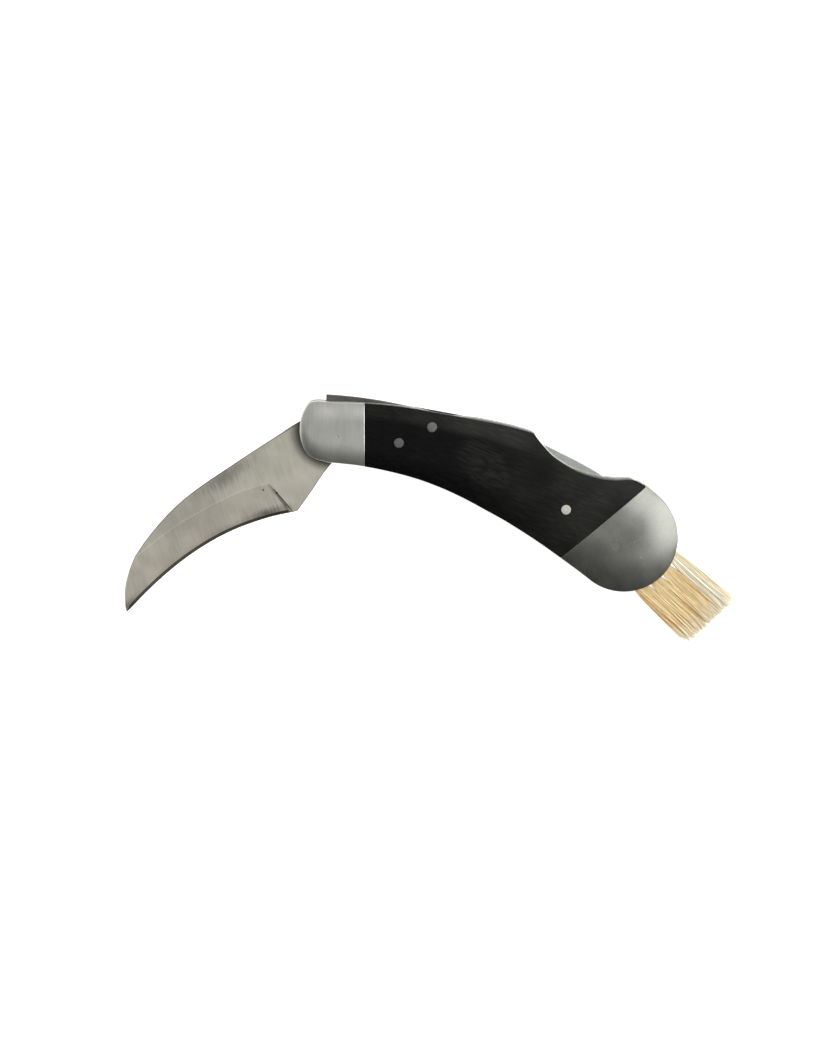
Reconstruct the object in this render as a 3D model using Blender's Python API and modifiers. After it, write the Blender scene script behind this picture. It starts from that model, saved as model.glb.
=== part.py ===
"""Folding mushroom knife: hawkbill blade, lock bar along the back, brush in the butt.

The knife lies on its side with the blade about 35 degrees short of fully open.
The pivot's axis is the Z axis. +X runs to the butt, +Y to the back of the handle,
and the lower covers rest on the plane z = 0. All sizes are in metres.
"""

import math
import random

import bmesh
import bpy
import numpy as np
from mathutils import Matrix, Vector

# Handle, in plan: its middle line is an arc from the front bolster to the butt
ARC_RADIUS = 0.1524
ARC_LENGTH = 0.0930
ARC_START = math.radians(-2.7)
PIVOT_SETBACK = 0.0017
PIVOT_DROP = 0.0016
FRONT_HALF_WIDTH = 0.0091
BUTT_RADIUS = 0.01574
NOSE_LENGTH = 0.0094

# Share of the way from the front's half width to the butt's, by share of the arc
BACK_SWELL_SHARES = (
    (0, -0.105), (0.10, -0.04), (0.21, 0.04), (0.30, 0.11), (0.38, 0.20), (0.45, 0.28),
    (0.53, 0.40), (0.59, 0.51), (0.75, 0.80), (0.90, 0.99), (0.96, 1.015), (1, 1),
)
BELLY_SWELL_SHARES = (
    (0, 0), (0.11, 0.045), (0.19, 0.10), (0.29, 0.19), (0.38, 0.32), (0.48, 0.48),
    (0.55, 0.60), (0.63, 0.71), (0.71, 0.80), (0.79, 0.87), (0.87, 0.94), (1, 1),
)
# Nose of the front bolster: shares of its length and of the front's half width
NOSE_SHARES = (
    (0.60, 0.92), (0.67, 0.885), (0.77, 0.77), (0.87, 0.57), (0.97, 0.29), (1, 0.05),
    (0.98, -0.23), (0.91, -0.47), (0.81, -0.67), (0.66, -0.83), (0.43, -0.94), (0.21, -0.985),
)
# Where the nose's crown begins to fall, as a share of the way to the outline
NOSE_FOOT_SHARE = 0.6
# Thumb cut-out in the back: shares of its run to the rear joint and of the half width there
CUTOUT_START_SHARE = 0.602
CUTOUT_SHARES = (
    (0, 1), (0.045, 0.91), (0.09, 0.837), (0.15, 0.755), (0.21, 0.687), (0.32, 0.625),
    (0.44, 0.600), (0.555, 0.625), (0.668, 0.690), (0.77, 0.79), (0.885, 0.955), (1, 1),
)
CUTOUT_RISE = 0.010

# Handle, across: slot, liner and cover on each side of the middle plane
SLOT_WIDTH = 0.0029
LINER_THICKNESS = 0.0010
COVER_THICKNESS = 0.0047
FRONT_CROWN_DROP = 0.0013
BUTT_CROWN_DROP = 0.0026
CREST_SHARE = 0.34
CROWN_RING_SHARES = (1, 0.88, 0.70, 0.45, 0)
FIT_GAP = 0.00005

# Joints between the bolsters and the scales
FRONT_JOINT = 0.0080
REAR_JOINT_SETBACK = 0.0075
REAR_JOINT_SKEW = math.radians(-12.3)

# Pins: radii, and places as shares of the arc and of the half width
PIVOT_PIN_RADIUS = 0.0020
PIVOT_PIN_SINK = 0.0018
PIN_RADIUS = 0.0015
PIN_RECESS = 0.00005
RUNNING_GAP = 0.00005
RIVET_SHARES = (0.216, -0.116)
ROCKER_SHARES = (0.307, 0.547)
REAR_PIN_SHARES = (0.795, -0.166)
BUTT_PIN_SHARES = (0.994, -0.203)

# Washers each side of the tang
WASHER_THICKNESS = 0.00025
WASHER_RADIUS = 0.0045

# Blade: how far short of the butt's centre its tip closes, bow of the spine from pivot to tip
TIP_TO_BUTT_CENTRE = 0.00867
BLADE_BOW = 0.01490
BLADE_THICKNESS = 0.0023
EDGE_THICKNESS = 0.0003
REST_ANGLE = math.radians(220)
OPENING_LEFT = math.radians(35)
SPINE_SHARES = (
    (0.072, 0.667), (0.168, 0.720), (0.286, 0.799), (0.390, 0.880), (0.493, 0.964),
    (0.577, 0.99), (0.653, 0.966), (0.730, 0.905), (0.794, 0.825), (0.855, 0.711),
)
POINT_SHARES = ((0.912, 0.536), (0.965, 0.302), (0.995, 0.088))
GRIND_SHARES = (
    (0.311, 0.186), (0.374, 0.344), (0.466, 0.500), (0.560, 0.606), (0.647, 0.689),
    (0.729, 0.728), (0.796, 0.724), (0.848, 0.695),
)
EDGE_SHARES = (
    (0.317, -0.546), (0.363, -0.425), (0.427, -0.275), (0.517, -0.104), (0.616, 0.007),
    (0.724, 0.063), (0.833, 0.067), (0.885, 0.055), (0.932, 0.039), (0.968, 0.018),
)
HEEL_SHARES = (0.292, -0.619)
RICASSO_SHARES = ((0.273, -0.608), (0.206, -0.520), (0.099, -0.365))
POINT_THICKNESS_SHARES = (0.90, 0.62, 0.30)

# Tang: a cam round the pivot with a notch for the lock bar's lug
TANG_RADIUS = 0.0068
TANG_SPINE_RISE = 0.0092
NOTCH_DEPTH = 0.00115
LUG_REACH = 0.0034
LUG_LENGTH = 0.0040
LUG_GAP = 0.0001
CAM_START = math.radians(46)

# Lock bar: its top line as shares of the arc and of the half width
BAR_THICKNESS = 0.0023
BAR_LIFT = math.radians(-2.1)
BAR_TOP_SHARES = (
    (-0.023, 1.062), (0.125, 1.010), (0.21, 0.998), (0.30, 0.990), (0.377, 0.985), (0.451, 0.980),
    (0.529, 0.965), (0.593, 0.938), (0.638, 0.916), (0.696, 0.896), (0.754, 0.888), (0.812, 0.888),
    (0.862, 0.875),
)
BAR_DEPTH = 0.0034
BAR_TAIL_DEPTH = 0.0026
BAR_EYE_WALL = 0.0009
BAR_EYE_ARC = (math.radians(29), math.radians(151))
BAR_EYE_SPAN_SHARE = 0.062
BAR_TAIL_SPAN_SHARE = 0.862
BAR_STEPS = 8
BAR_FRONT_STEPS = 3

# Leaf spring under the bar's tail, rooted in the butt spacer
SPRING_THICKNESS = 0.0009
SPRING_WIDTH = 0.0022
SPRING_TIP_SHARE = 0.60
SPRING_ROOT = 0.0035
SPRING_ROOT_SHARES = (0.905, 0.175)
SPRING_TIP_RUN = 0.0015
SPRING_BEND = 0.0008
SPRING_RUN_SHARES = (0.25, 0.5, 0.75)
SPRING_CURL = math.radians(25)

# Butt: spacer plate clear of the blade's tip, and the brush block in its rim
TIP_CLEARANCE = 0.00175
SPACER_INSET = 0.0001
SPACER_START_SHARE = 0.75
BLOCK_WALL = 0.00196
BLOCK_MARGIN = 0.0014

# Brush: four tufts side by side, aimed in plan from the butt's centre
BRUSH_ANGLE = math.radians(-42)
BRUSH_OFFSET = -0.0015
BRUSH_END = 0.0359
BRUSH_END_SLANT = 0.13
TUFT_COUNT = 4
TUFT_PITCH = 0.00466
TUFT_WIDTH = 0.0030
TUFT_THICKNESS = 0.0026
TUFT_ROOT = 0.0022
TUFT_RECESS = 0.0006
TUFT_END_WIDTH = 0.0045
TUFT_END_THICKNESS = 0.0042
TUFT_COLUMNS = 9
TUFT_ROWS = 5
STRAND_ROOT_SHARE = 0.62
STRAND_MIDDLE_SHARE = 0.50
STRAND_TIP_SHARE = 0.34
STRAND_SWAY = 0.00022
STRAND_WAVE = 0.0031
STRAND_RAGGED_SHARE = 0.07
TUFT_SEED = 11

# Modelling
CUT_OVERRUN = 0.0020
SIDE_STATIONS = 18
BUTT_STEPS = 20
ROUND_STEPS = 32
SWEEP_STEPS = 144
CURVE_STEPS = 3
COARSE_STEPS = 2
SEARCH_STEPS = 30
MERGE_DISTANCE = 0.000001
SHARP_ANGLE = math.radians(32)

HALF_SLOT = SLOT_WIDTH / 2
LINER_TOP = HALF_SLOT + LINER_THICKNESS
COVER_BASE = LINER_TOP + FIT_GAP
CREST_HEIGHT = COVER_BASE + COVER_THICKNESS
NOSE_CENTRE = Vector((-PIVOT_SETBACK, PIVOT_DROP))
FILLER_THICKNESS = SLOT_WIDTH - 2 * FIT_GAP


def clear_scene():
    for old in list(bpy.data.objects):
        bpy.data.objects.remove(old)


def new_collection(name):
    found = bpy.data.collections.new(name)
    bpy.context.scene.collection.children.link(found)
    return found


def new_material(name, colour, roughness, metallic):
    made = bpy.data.materials.new(name)
    made.use_nodes = True
    shader = made.node_tree.nodes["Principled BSDF"]
    shader.inputs["Base Color"].default_value = (*colour, 1)
    shader.inputs["Roughness"].default_value = roughness
    shader.inputs["Metallic"].default_value = metallic
    made.diffuse_color = (*colour, 1)
    return made


def lerp(start, end, share):
    return start + (end - start) * share


def turned(point, angle):
    """A plan point turned about the origin."""
    return Vector(point[:2]) @ Matrix.Rotation(-angle, 2)


def polar(radius, angle):
    return Vector((radius * math.cos(angle), radius * math.sin(angle)))


def shares_between(first, last, steps):
    return [lerp(first, last, step / steps) for step in range(steps + 1)]


def smooth_through(points, steps):
    """Catmull-Rom points through the given ones, which stay in the list."""
    ends = [2 * points[0] - points[1], *points, 2 * points[-1] - points[-2]]
    found = []
    for before, start, end, after in zip(ends, ends[1:], ends[2:], ends[3:]):
        for step in range(steps):
            t = step / steps
            found.append(
                0.5 * (2 * start + (end - before) * t)
                + 0.5 * (2 * before - 5 * start + 4 * end - after) * t**2
                + 0.5 * (3 * start - before - 3 * end + after) * t**3
            )
    return [*found, points[-1]]


# Plan of the handle


def heading(share):
    return ARC_START - share * ARC_LENGTH / ARC_RADIUS


def centre_point(share):
    """The middle line's point at a share of its length."""
    angle = heading(share)
    x = math.sin(ARC_START) - math.sin(angle)
    y = math.cos(angle) - math.cos(ARC_START)
    return NOSE_CENTRE + ARC_RADIUS * Vector((x, y))


def half_width(share, side):
    """Half width towards the back (side 1) or towards the belly (side -1)."""
    table = BACK_SWELL_SHARES if side > 0 else BELLY_SWELL_SHARES
    swell = np.interp(share, [row[0] for row in table], [row[1] for row in table])
    return lerp(FRONT_HALF_WIDTH, BUTT_RADIUS, float(swell))


def handle_point(share, across_share, outward=0):
    """A plan point by share of the arc and of the half width, moved outward."""
    side = 1 if across_share > 0 else -1
    offset = across_share * half_width(share, side) + outward
    return centre_point(share) + polar(offset, heading(share) + math.pi / 2)


def butt_point(along, across):
    """A plan point from the butt's centre, along and across the brush's line."""
    return centre_point(1) + turned((along, across), BRUSH_ANGLE)


def outline_pairs():
    """Outline points, anticlockwise, each with the crest point that it falls from."""
    side_shares = shares_between(0, 1, SIDE_STATIONS)
    pairs = [(handle_point(s, -1), centre_point(s)) for s in side_shares]
    for turn in shares_between(-math.pi / 2, math.pi / 2, BUTT_STEPS)[1:-1]:
        rim = polar(BUTT_RADIUS, heading(1) + turn)
        pairs.append((centre_point(1) + rim, centre_point(1)))
    pairs += [(handle_point(s, 1), centre_point(s)) for s in reversed(side_shares)]
    for ahead, across in NOSE_SHARES:
        tip = (-ahead * NOSE_LENGTH, across * FRONT_HALF_WIDTH)
        foot = (-ahead * NOSE_LENGTH * NOSE_FOOT_SHARE, 0)
        pairs.append(
            (NOSE_CENTRE + turned(tip, ARC_START), NOSE_CENTRE + turned(foot, ARC_START))
        )
    return pairs


def crown_drop(point):
    """How far the cover's edge lies below its crest, by how near the butt it is."""
    run = (centre_point(1) - NOSE_CENTRE).length
    share = (point - NOSE_CENTRE).length / run
    return lerp(FRONT_CROWN_DROP, BUTT_CROWN_DROP, min(max(share, 0), 1))


# Solids


def add_object(name, mesh, material, collection, location=(0, 0, 0)):
    made = bpy.data.objects.new(name, mesh)
    collection.objects.link(made)
    made.location = location
    if material:
        mesh.materials.append(material)
    return made


def mesh_from(bm, name):
    """Closes a bmesh into a mesh with its faces out and its edges sharp or smooth."""
    bmesh.ops.recalc_face_normals(bm, faces=bm.faces)
    mesh = bpy.data.meshes.new(name)
    bm.to_mesh(mesh)
    bm.free()
    mesh.shade_smooth()
    mesh.set_sharp_from_angle(angle=SHARP_ANGLE)
    return mesh


def plate(name, outline, thickness, material, collection, origin=(0, 0)):
    """A flat outline as a filled curve, made a mesh about its origin in plan."""
    curve = bpy.data.curves.new(name, "CURVE")
    curve.dimensions = "2D"
    curve.fill_mode = "BOTH"
    curve.extrude = thickness / 2
    spline = curve.splines.new("POLY")
    spline.points.add(len(outline) - 1)
    for point, place in zip(spline.points, outline):
        point.co = (place[0] - origin[0], place[1] - origin[1], 0, 1)
    spline.use_cyclic_u = True
    drawn = add_object(name + "_curve", curve, None, collection)
    graph = bpy.context.evaluated_depsgraph_get()
    mesh = bpy.data.meshes.new_from_object(drawn.evaluated_get(graph))
    bpy.data.objects.remove(drawn)
    bm = bmesh.new()
    bm.from_mesh(mesh)
    bpy.data.meshes.remove(mesh)
    bmesh.ops.remove_doubles(bm, verts=bm.verts, dist=MERGE_DISTANCE)
    made = add_object(name, mesh_from(bm, name), material, collection)
    made.location = (*origin[:2], CREST_HEIGHT)
    return made


def rod(name, radius, length, place, material, collection, steps=ROUND_STEPS):
    """A cylinder across the knife, centred on its middle plane."""
    bm = bmesh.new()
    bmesh.ops.create_cone(
        bm, cap_ends=True, segments=steps, radius1=radius, radius2=radius, depth=length
    )
    made = add_object(name, mesh_from(bm, name), material, collection)
    made.location = (*place[:2], CREST_HEIGHT)
    return made


def cut_with(target, cutters):
    for cutter in cutters:
        cutter.hide_render = True
        cutter.display_type = "WIRE"
        boolean = target.modifiers.new(cutter.name, "BOOLEAN")
        boolean.operation = "DIFFERENCE"
        boolean.object = cutter


def cover_bmesh():
    """One side's whole cover: rings drawn in from the outline to a flat crest."""
    pairs = outline_pairs()
    bm = bmesh.new()
    rings = [[bm.verts.new((*point, COVER_BASE)) for point, foot in pairs]]
    for ring_share in CROWN_RING_SHARES:
        ring = []
        for point, foot in pairs:
            place = lerp(foot, point, lerp(CREST_SHARE, 1, ring_share))
            height = CREST_HEIGHT - crown_drop(point) * ring_share**2
            ring.append(bm.verts.new((*place, height)))
        rings.append(ring)
    bm.faces.new(rings[0])
    bm.faces.new(rings[-1])
    for outer, inner in zip(rings, rings[1:]):
        for k in range(len(outer)):
            bm.faces.new((outer[k - 1], outer[k], inner[k], inner[k - 1]))
    return bm


def cover_piece(name, planes, side, material, collection):
    """A stretch of the cover between planes, each given by a point and its inward way."""
    bm = cover_bmesh()
    for place, inward in planes:
        geometry = bm.verts[:] + bm.edges[:] + bm.faces[:]
        bmesh.ops.bisect_plane(
            bm,
            geom=geometry,
            dist=MERGE_DISTANCE,
            plane_co=(*place, 0),
            plane_no=(*inward, 0),
            clear_inner=True,
        )
        bmesh.ops.edgeloop_fill(bm, edges=[edge for edge in bm.edges if edge.is_boundary])
    if side < 0:
        bmesh.ops.scale(bm, vec=(1, 1, -1), verts=bm.verts)
    made = add_object(name, mesh_from(bm, name), material, collection)
    made.location = (0, 0, CREST_HEIGHT)
    return made


def joint_planes():
    """The two joints: a point on each, and the way along the handle through it."""
    front = Vector((FRONT_JOINT, 0))
    rear_way = polar(1, heading(1) + REAR_JOINT_SKEW)
    return (front, Vector((1, 0))), (centre_point(1) - REAR_JOINT_SETBACK * rear_way, rear_way)


def make_covers(steel, wood, collection):
    (front, front_way), (rear, rear_way) = joint_planes()
    gap = FIT_GAP / 2
    stretches = {
        "front_bolster": (steel, [(front - gap * front_way, -front_way)]),
        "scale": (wood, [(front + gap * front_way, front_way), (rear - gap * rear_way, -rear_way)]),
        "rear_bolster": (steel, [(rear + gap * rear_way, rear_way)]),
    }
    return {
        f"{name}_{label}": cover_piece(f"{name}_{label}", planes, side, material, collection)
        for name, (material, planes) in stretches.items()
        for label, side in (("top", 1), ("bottom", -1))
    }


# Tang and blade


def to_blade(point):
    """A plan point of the fully open knife, in the blade's own frame."""
    return turned(point, OPENING_LEFT - REST_ANGLE)


def blade_reach():
    """From the pivot to the tip, so that the closed blade fits the handle."""
    return centre_point(1).length - TIP_TO_BUTT_CENTRE


def blade_point(pair):
    """Shares of the reach and of the bow; the spine lies on the frame's -Y side."""
    return Vector((pair[0] * blade_reach(), -pair[1] * BLADE_BOW))


def tang_outline():
    """From the ricasso round the cam to the shoulder, in the blade's own frame."""
    lug_rear = LUG_LENGTH - LUG_REACH + LUG_GAP
    shoulder_x = -LUG_REACH - LUG_GAP
    floor = TANG_RADIUS - NOTCH_DEPTH
    cam_top = to_blade((lug_rear, math.sqrt(TANG_RADIUS**2 - lug_rear**2)))
    cam_end = math.atan2(cam_top.y, cam_top.x) % math.tau
    points = [polar(TANG_RADIUS, a) for a in shares_between(CAM_START, cam_end, ROUND_STEPS)]
    points += [to_blade((lug_rear, floor)), to_blade((shoulder_x, floor))]
    return [*points, to_blade((shoulder_x, TANG_SPINE_RISE))]


def make_blade(steel, collection):
    """Half a blade, open at its middle plane, and its mirror image."""
    half = BLADE_THICKNESS / 2
    edge_half = EDGE_THICKNESS / 2
    bm = bmesh.new()

    def corners(points, height):
        return [bm.verts.new((*point, height)) for point in points]

    grind_curve = smooth_through([blade_point(pair) for pair in GRIND_SHARES], CURVE_STEPS)
    spine_curve = smooth_through([blade_point(pair) for pair in SPINE_SHARES], COARSE_STEPS)
    edge_curve = smooth_through([blade_point(pair) for pair in EDGE_SHARES], CURVE_STEPS)
    heel = corners([blade_point(HEEL_SHARES)], half)
    grind = corners(grind_curve, half)
    flat_outline = corners([blade_point(pair) for pair in RICASSO_SHARES], half)
    flat_outline += corners(tang_outline(), half)
    flat_outline += corners(spine_curve, half)
    bm.faces.new([*heel, *flat_outline, *reversed(grind)])

    # Beyond the flat, the bevel's upper rim is the spine, which thins to the point
    upper = [*grind, flat_outline[-1]]
    for pair, share in zip(POINT_SHARES, POINT_THICKNESS_SHARES):
        upper += corners([blade_point(pair)], half * share)
    lower = corners(edge_curve, edge_half)
    tip = bm.verts.new((blade_reach(), 0, edge_half))
    bm.faces.new((heel[0], grind[0], lower[0]))
    bridge_rims(bm, upper, lower)
    bm.faces.new((upper[-1], tip, lower[-1]))

    rim = [edge for edge in bm.edges if edge.is_boundary]
    walls = bmesh.ops.extrude_edge_only(bm, edges=rim)
    for vertex in walls["geom"]:
        if isinstance(vertex, bmesh.types.BMVert):
            vertex.co.z = 0
    made = add_object("blade", mesh_from(bm, "blade"), steel, collection)
    mirror = made.modifiers.new("other_face", "MIRROR")
    mirror.use_axis = (False, False, True)
    mirror.merge_threshold = MERGE_DISTANCE
    made.location = (0, 0, CREST_HEIGHT)
    made.rotation_euler = (0, 0, REST_ANGLE)
    return made


def bridge_rims(bm, upper, lower):
    """Triangles between two rims of unlike counts, stepping on the one that lags."""
    i = j = 0
    while i < len(upper) - 1 or j < len(lower) - 1:
        upper_share = (i + 1) / (len(upper) - 1)
        lower_share = (j + 1) / (len(lower) - 1)
        if upper_share <= lower_share:
            bm.faces.new((upper[i], upper[i + 1], lower[j]))
            i += 1
        else:
            bm.faces.new((upper[i], lower[j + 1], lower[j]))
            j += 1


# Lock bar and spring


def lifted(point):
    """A plan point of the locked bar, turned about the rocker pin to where it rides."""
    rocker = handle_point(*ROCKER_SHARES)
    return rocker + turned(point - rocker, BAR_LIFT)


def bar_point(share, depth):
    """A point of the raised bar, a depth below its top line."""
    shares, tops = zip(*BAR_TOP_SHARES)
    across = float(np.interp(share, shares, tops))
    return lifted(handle_point(share, across, -depth))


def bar_depth(share):
    """The bar's depth behind its eye, tapering to the tail."""
    start = ROCKER_SHARES[0] + BAR_EYE_SPAN_SHARE
    run = (share - start) / (BAR_TAIL_SPAN_SHARE - start)
    return lerp(BAR_DEPTH, BAR_TAIL_DEPTH, min(max(run, 0), 1))


def bar_outline():
    rocker = handle_point(*ROCKER_SHARES)
    eye_radius = PIN_RADIUS + RUNNING_GAP + BAR_EYE_WALL
    ride_height = TANG_RADIUS + RUNNING_GAP
    eye_front = ROCKER_SHARES[0] - BAR_EYE_SPAN_SHARE
    eye_rear = ROCKER_SHARES[0] + BAR_EYE_SPAN_SHARE
    front_share = (FRONT_JOINT + PIVOT_SETBACK) / ARC_LENGTH
    top_front = bar_point(BAR_TOP_SHARES[0][0], 0)
    top = smooth_through([bar_point(pair[0], 0) for pair in BAR_TOP_SHARES[1:]], COARSE_STEPS)
    tail = shares_between(BAR_TAIL_SPAN_SHARE, eye_rear, BAR_STEPS)
    belly = shares_between(eye_front, front_share, BAR_FRONT_STEPS)
    outline = [Vector((-LUG_REACH, top_front.y)), *top]
    outline += [bar_point(share, bar_depth(share)) for share in tail]
    outline += [rocker + polar(eye_radius, -a) for a in shares_between(*BAR_EYE_ARC, BAR_STEPS)]
    outline += [bar_point(share, BAR_DEPTH) for share in belly]
    outline.append(Vector((LUG_LENGTH - LUG_REACH, ride_height)))
    outline.append(Vector((-LUG_REACH, ride_height)))
    return outline[::-1]


def spring_line():
    """The leaf's middle line, from inside the butt spacer to under the bar's tail."""
    sunk = SPRING_THICKNESS / 2 + RUNNING_GAP
    contact = bar_point(SPRING_TIP_SHARE, bar_depth(SPRING_TIP_SHARE) + sunk)
    root = handle_point(*SPRING_ROOT_SHARES)
    way = (contact - root).normalized()
    bow = SPRING_BEND * Vector((way.y, -way.x))
    line = [root - SPRING_ROOT * way, root]
    line += [lerp(root, contact, s) - 4 * s * (1 - s) * bow for s in SPRING_RUN_SHARES]
    curl = turned(way, SPRING_CURL)
    return [*line, contact, contact + SPRING_TIP_RUN * curl]


def ribbon(line, thickness):
    """The outline of a strip of one thickness along a line."""
    sides = []
    for k, point in enumerate(line):
        way = (line[min(k + 1, len(line) - 1)] - line[max(k - 1, 0)]).normalized()
        sides.append((point, thickness / 2 * Vector((-way.y, way.x))))
    left = [point + across for point, across in sides]
    right = [point - across for point, across in sides]
    return left + right[::-1]


# Cut-out, butt spacer and brush block


def rear_joint_share():
    """Where the rear joint meets the back, as a share of the arc."""
    (_, _), (place, way) = joint_planes()
    low, high = CUTOUT_START_SHARE, 1
    for _ in range(SEARCH_STEPS):
        middle = (low + high) / 2
        if (handle_point(middle, 1) - place).dot(way) < 0:
            low = middle
        else:
            high = middle
    return low


def cutout_outline():
    end = rear_joint_share()
    points = [
        handle_point(lerp(CUTOUT_START_SHARE, end, run), depth) for run, depth in CUTOUT_SHARES
    ]
    rim = smooth_through(points, CURVE_STEPS)
    return [
        *rim,
        handle_point(end, 1, CUTOUT_RISE),
        handle_point(CUTOUT_START_SHARE, 1, CUTOUT_RISE),
    ]


def spacer_outline():
    """The handle's outline round the butt, drawn in a little."""
    shares = [share for share in shares_between(0, 1, SIDE_STATIONS) if share > SPACER_START_SHARE]
    belly = [handle_point(share, -1, SPACER_INSET) for share in shares]
    back = [handle_point(share, 1, -SPACER_INSET) for share in reversed(shares)]
    turns = shares_between(-math.pi / 2, math.pi / 2, BUTT_STEPS)[1:-1]
    rim = [centre_point(1) + polar(BUTT_RADIUS - SPACER_INSET, heading(1) + a) for a in turns]
    return belly + rim + back


def tuft_places():
    """Each tuft's offset across the brush and how far out its root face lies."""
    places = []
    for k in range(TUFT_COUNT):
        across = BRUSH_OFFSET + ((TUFT_COUNT - 1) / 2 - k) * TUFT_PITCH
        side = abs(across) + TUFT_WIDTH / 2
        places.append((across, math.sqrt(BUTT_RADIUS**2 - side**2) - TUFT_RECESS))
    return places


def block_outline(grow=0):
    rim = BUTT_RADIUS - SPACER_INSET + grow
    first, last = tuft_places()[0][0], tuft_places()[-1][0]
    margin = TUFT_WIDTH / 2 + BLOCK_MARGIN + grow
    high, low = first + margin, last - margin
    back = min(face for across, face in tuft_places()) - TUFT_ROOT - BLOCK_WALL - grow
    angles = shares_between(math.asin(low / rim), math.asin(high / rim), BUTT_STEPS)
    arc = [butt_point(*polar(rim, angle)) for angle in angles]
    return [butt_point(back, high), butt_point(back, low), *arc]


def tuft_notch(name, across, face, cutters):
    """The U notch that a tuft's root sits in, open at the rim."""
    back = face - TUFT_ROOT - FIT_GAP
    front = BUTT_RADIUS + CUT_OVERRUN
    half = TUFT_WIDTH / 2 + FIT_GAP
    corners = [(back, -half), (front, -half), (front, half), (back, half)]
    outline = [butt_point(along, across + side) for along, side in corners]
    return plate(name, outline, SLOT_WIDTH, None, cutters)


def make_tuft(name, across, face, bristle, collection):
    """A root slice whose face grows three-sided strands that fan out, sway and taper."""
    ragged = random.Random(TUFT_SEED + round(across / TUFT_PITCH))
    reach = BRUSH_END - face
    bm = bmesh.new()
    columns = [lerp(-0.5, 0.5, k / TUFT_COLUMNS) for k in range(TUFT_COLUMNS + 1)]
    rows = [lerp(-0.5, 0.5, k / TUFT_ROWS) for k in range(TUFT_ROWS + 1)]
    grid = [
        [bm.verts.new((0, column * TUFT_WIDTH, row * TUFT_THICKNESS)) for row in rows]
        for column in columns
    ]

    def strand_point(root, run):
        """Where the strand from this root is at a share of the brush's reach."""
        width = lerp(1, TUFT_END_WIDTH / TUFT_WIDTH, run)
        thickness = lerp(1, TUFT_END_THICKNESS / TUFT_THICKNESS, run)
        wave = STRAND_SWAY * math.sin(math.tau * (across + root.y) / STRAND_WAVE)
        length = reach + BRUSH_END_SLANT * (across + root.y - BRUSH_OFFSET)
        return Vector((run * length, root.y * width + wave * run**2, root.z * thickness))

    def grow(corners):
        root = sum((corner.co for corner in corners), Vector()) / 3
        end = 1 - STRAND_RAGGED_SHARE * ragged.random()
        lower = corners
        stations = ((0, STRAND_ROOT_SHARE), (end / 2, STRAND_MIDDLE_SHARE), (end, STRAND_TIP_SHARE))
        for run, size in stations:
            upper = [
                bm.verts.new(strand_point(root, run) + size * (corner.co - root))
                for corner in corners
            ]
            for k in range(3):
                bm.faces.new((lower[k - 1], lower[k], upper[k], upper[k - 1]))
            lower = upper
        bm.faces.new(lower)

    for k in range(TUFT_COLUMNS):
        for m in range(TUFT_ROWS):
            a, b, c, d = grid[k][m], grid[k + 1][m], grid[k + 1][m + 1], grid[k][m + 1]
            grow((a, b, c))
            grow((a, c, d))
    rim = [edge for edge in bm.edges if edge.is_boundary]
    sunk = bmesh.ops.extrude_edge_only(bm, edges=rim)["geom"]
    for corner in sunk:
        if isinstance(corner, bmesh.types.BMVert):
            corner.co.x = -TUFT_ROOT
    bmesh.ops.edgeloop_fill(bm, edges=[edge for edge in bm.edges if edge.is_boundary])
    made = add_object(name, mesh_from(bm, name), bristle, collection)
    made.location = (*butt_point(face, across), CREST_HEIGHT)
    made.rotation_euler = (0, 0, BRUSH_ANGLE)
    return made


# Pins and washers


def crown_height(place, across_share):
    """The cover's height over the middle plane at a point of its crown."""
    ring = (abs(across_share) - CREST_SHARE) / (1 - CREST_SHARE)
    return CREST_HEIGHT - crown_drop(place) * max(ring, 0) ** 2


def through_length(shares):
    return 2 * (crown_height(handle_point(*shares), shares[1]) - PIN_RECESS)


def bore_cutters(cutters):
    """Cutters for each pin's bore, a running gap wider than the pin."""
    through = 2 * (CREST_HEIGHT + CUT_OVERRUN)
    blind = 2 * (COVER_BASE + PIVOT_PIN_SINK + FIT_GAP)
    bore = PIN_RADIUS + RUNNING_GAP
    pivot_bore = PIVOT_PIN_RADIUS + RUNNING_GAP
    made = {"pivot": rod("pivot_bore", pivot_bore, blind, (0, 0), None, cutters)}
    places = {
        "rivet": RIVET_SHARES,
        "rocker": ROCKER_SHARES,
        "rear": REAR_PIN_SHARES,
        "butt": BUTT_PIN_SHARES,
    }
    for name, shares in places.items():
        made[name] = rod(name + "_bore", bore, through, handle_point(*shares), None, cutters)
    return made


def make_pins(steel, bright, collection):
    pivot_length = 2 * (COVER_BASE + PIVOT_PIN_SINK)
    rod("pivot_pin", PIVOT_PIN_RADIUS, pivot_length, (0, 0), steel, collection)
    through = {
        "rocker_pin": (ROCKER_SHARES, steel),
        "rear_pin": (REAR_PIN_SHARES, bright),
        "butt_pin": (BUTT_PIN_SHARES, steel),
    }
    for name, (shares, metal) in through.items():
        rod(name, PIN_RADIUS, through_length(shares), handle_point(*shares), metal, collection)
    length = CREST_HEIGHT - PIN_RECESS - HALF_SLOT - FIT_GAP
    for label, side in (("top", 1), ("bottom", -1)):
        place = handle_point(*RIVET_SHARES)
        rivet = rod("scale_rivet_" + label, PIN_RADIUS, length, place, steel, collection)
        rivet.location.z += side * (HALF_SLOT + FIT_GAP + length / 2)


def make_washers(brass, bore, collection):
    lift = (BLADE_THICKNESS / 2 + HALF_SLOT) / 2
    for label, side in (("top", 1), ("bottom", -1)):
        name = "washer_" + label
        washer = rod(name, WASHER_RADIUS, WASHER_THICKNESS, (0, 0), brass, collection)
        washer.location.z += side * lift
        cut_with(washer, [bore])


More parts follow.
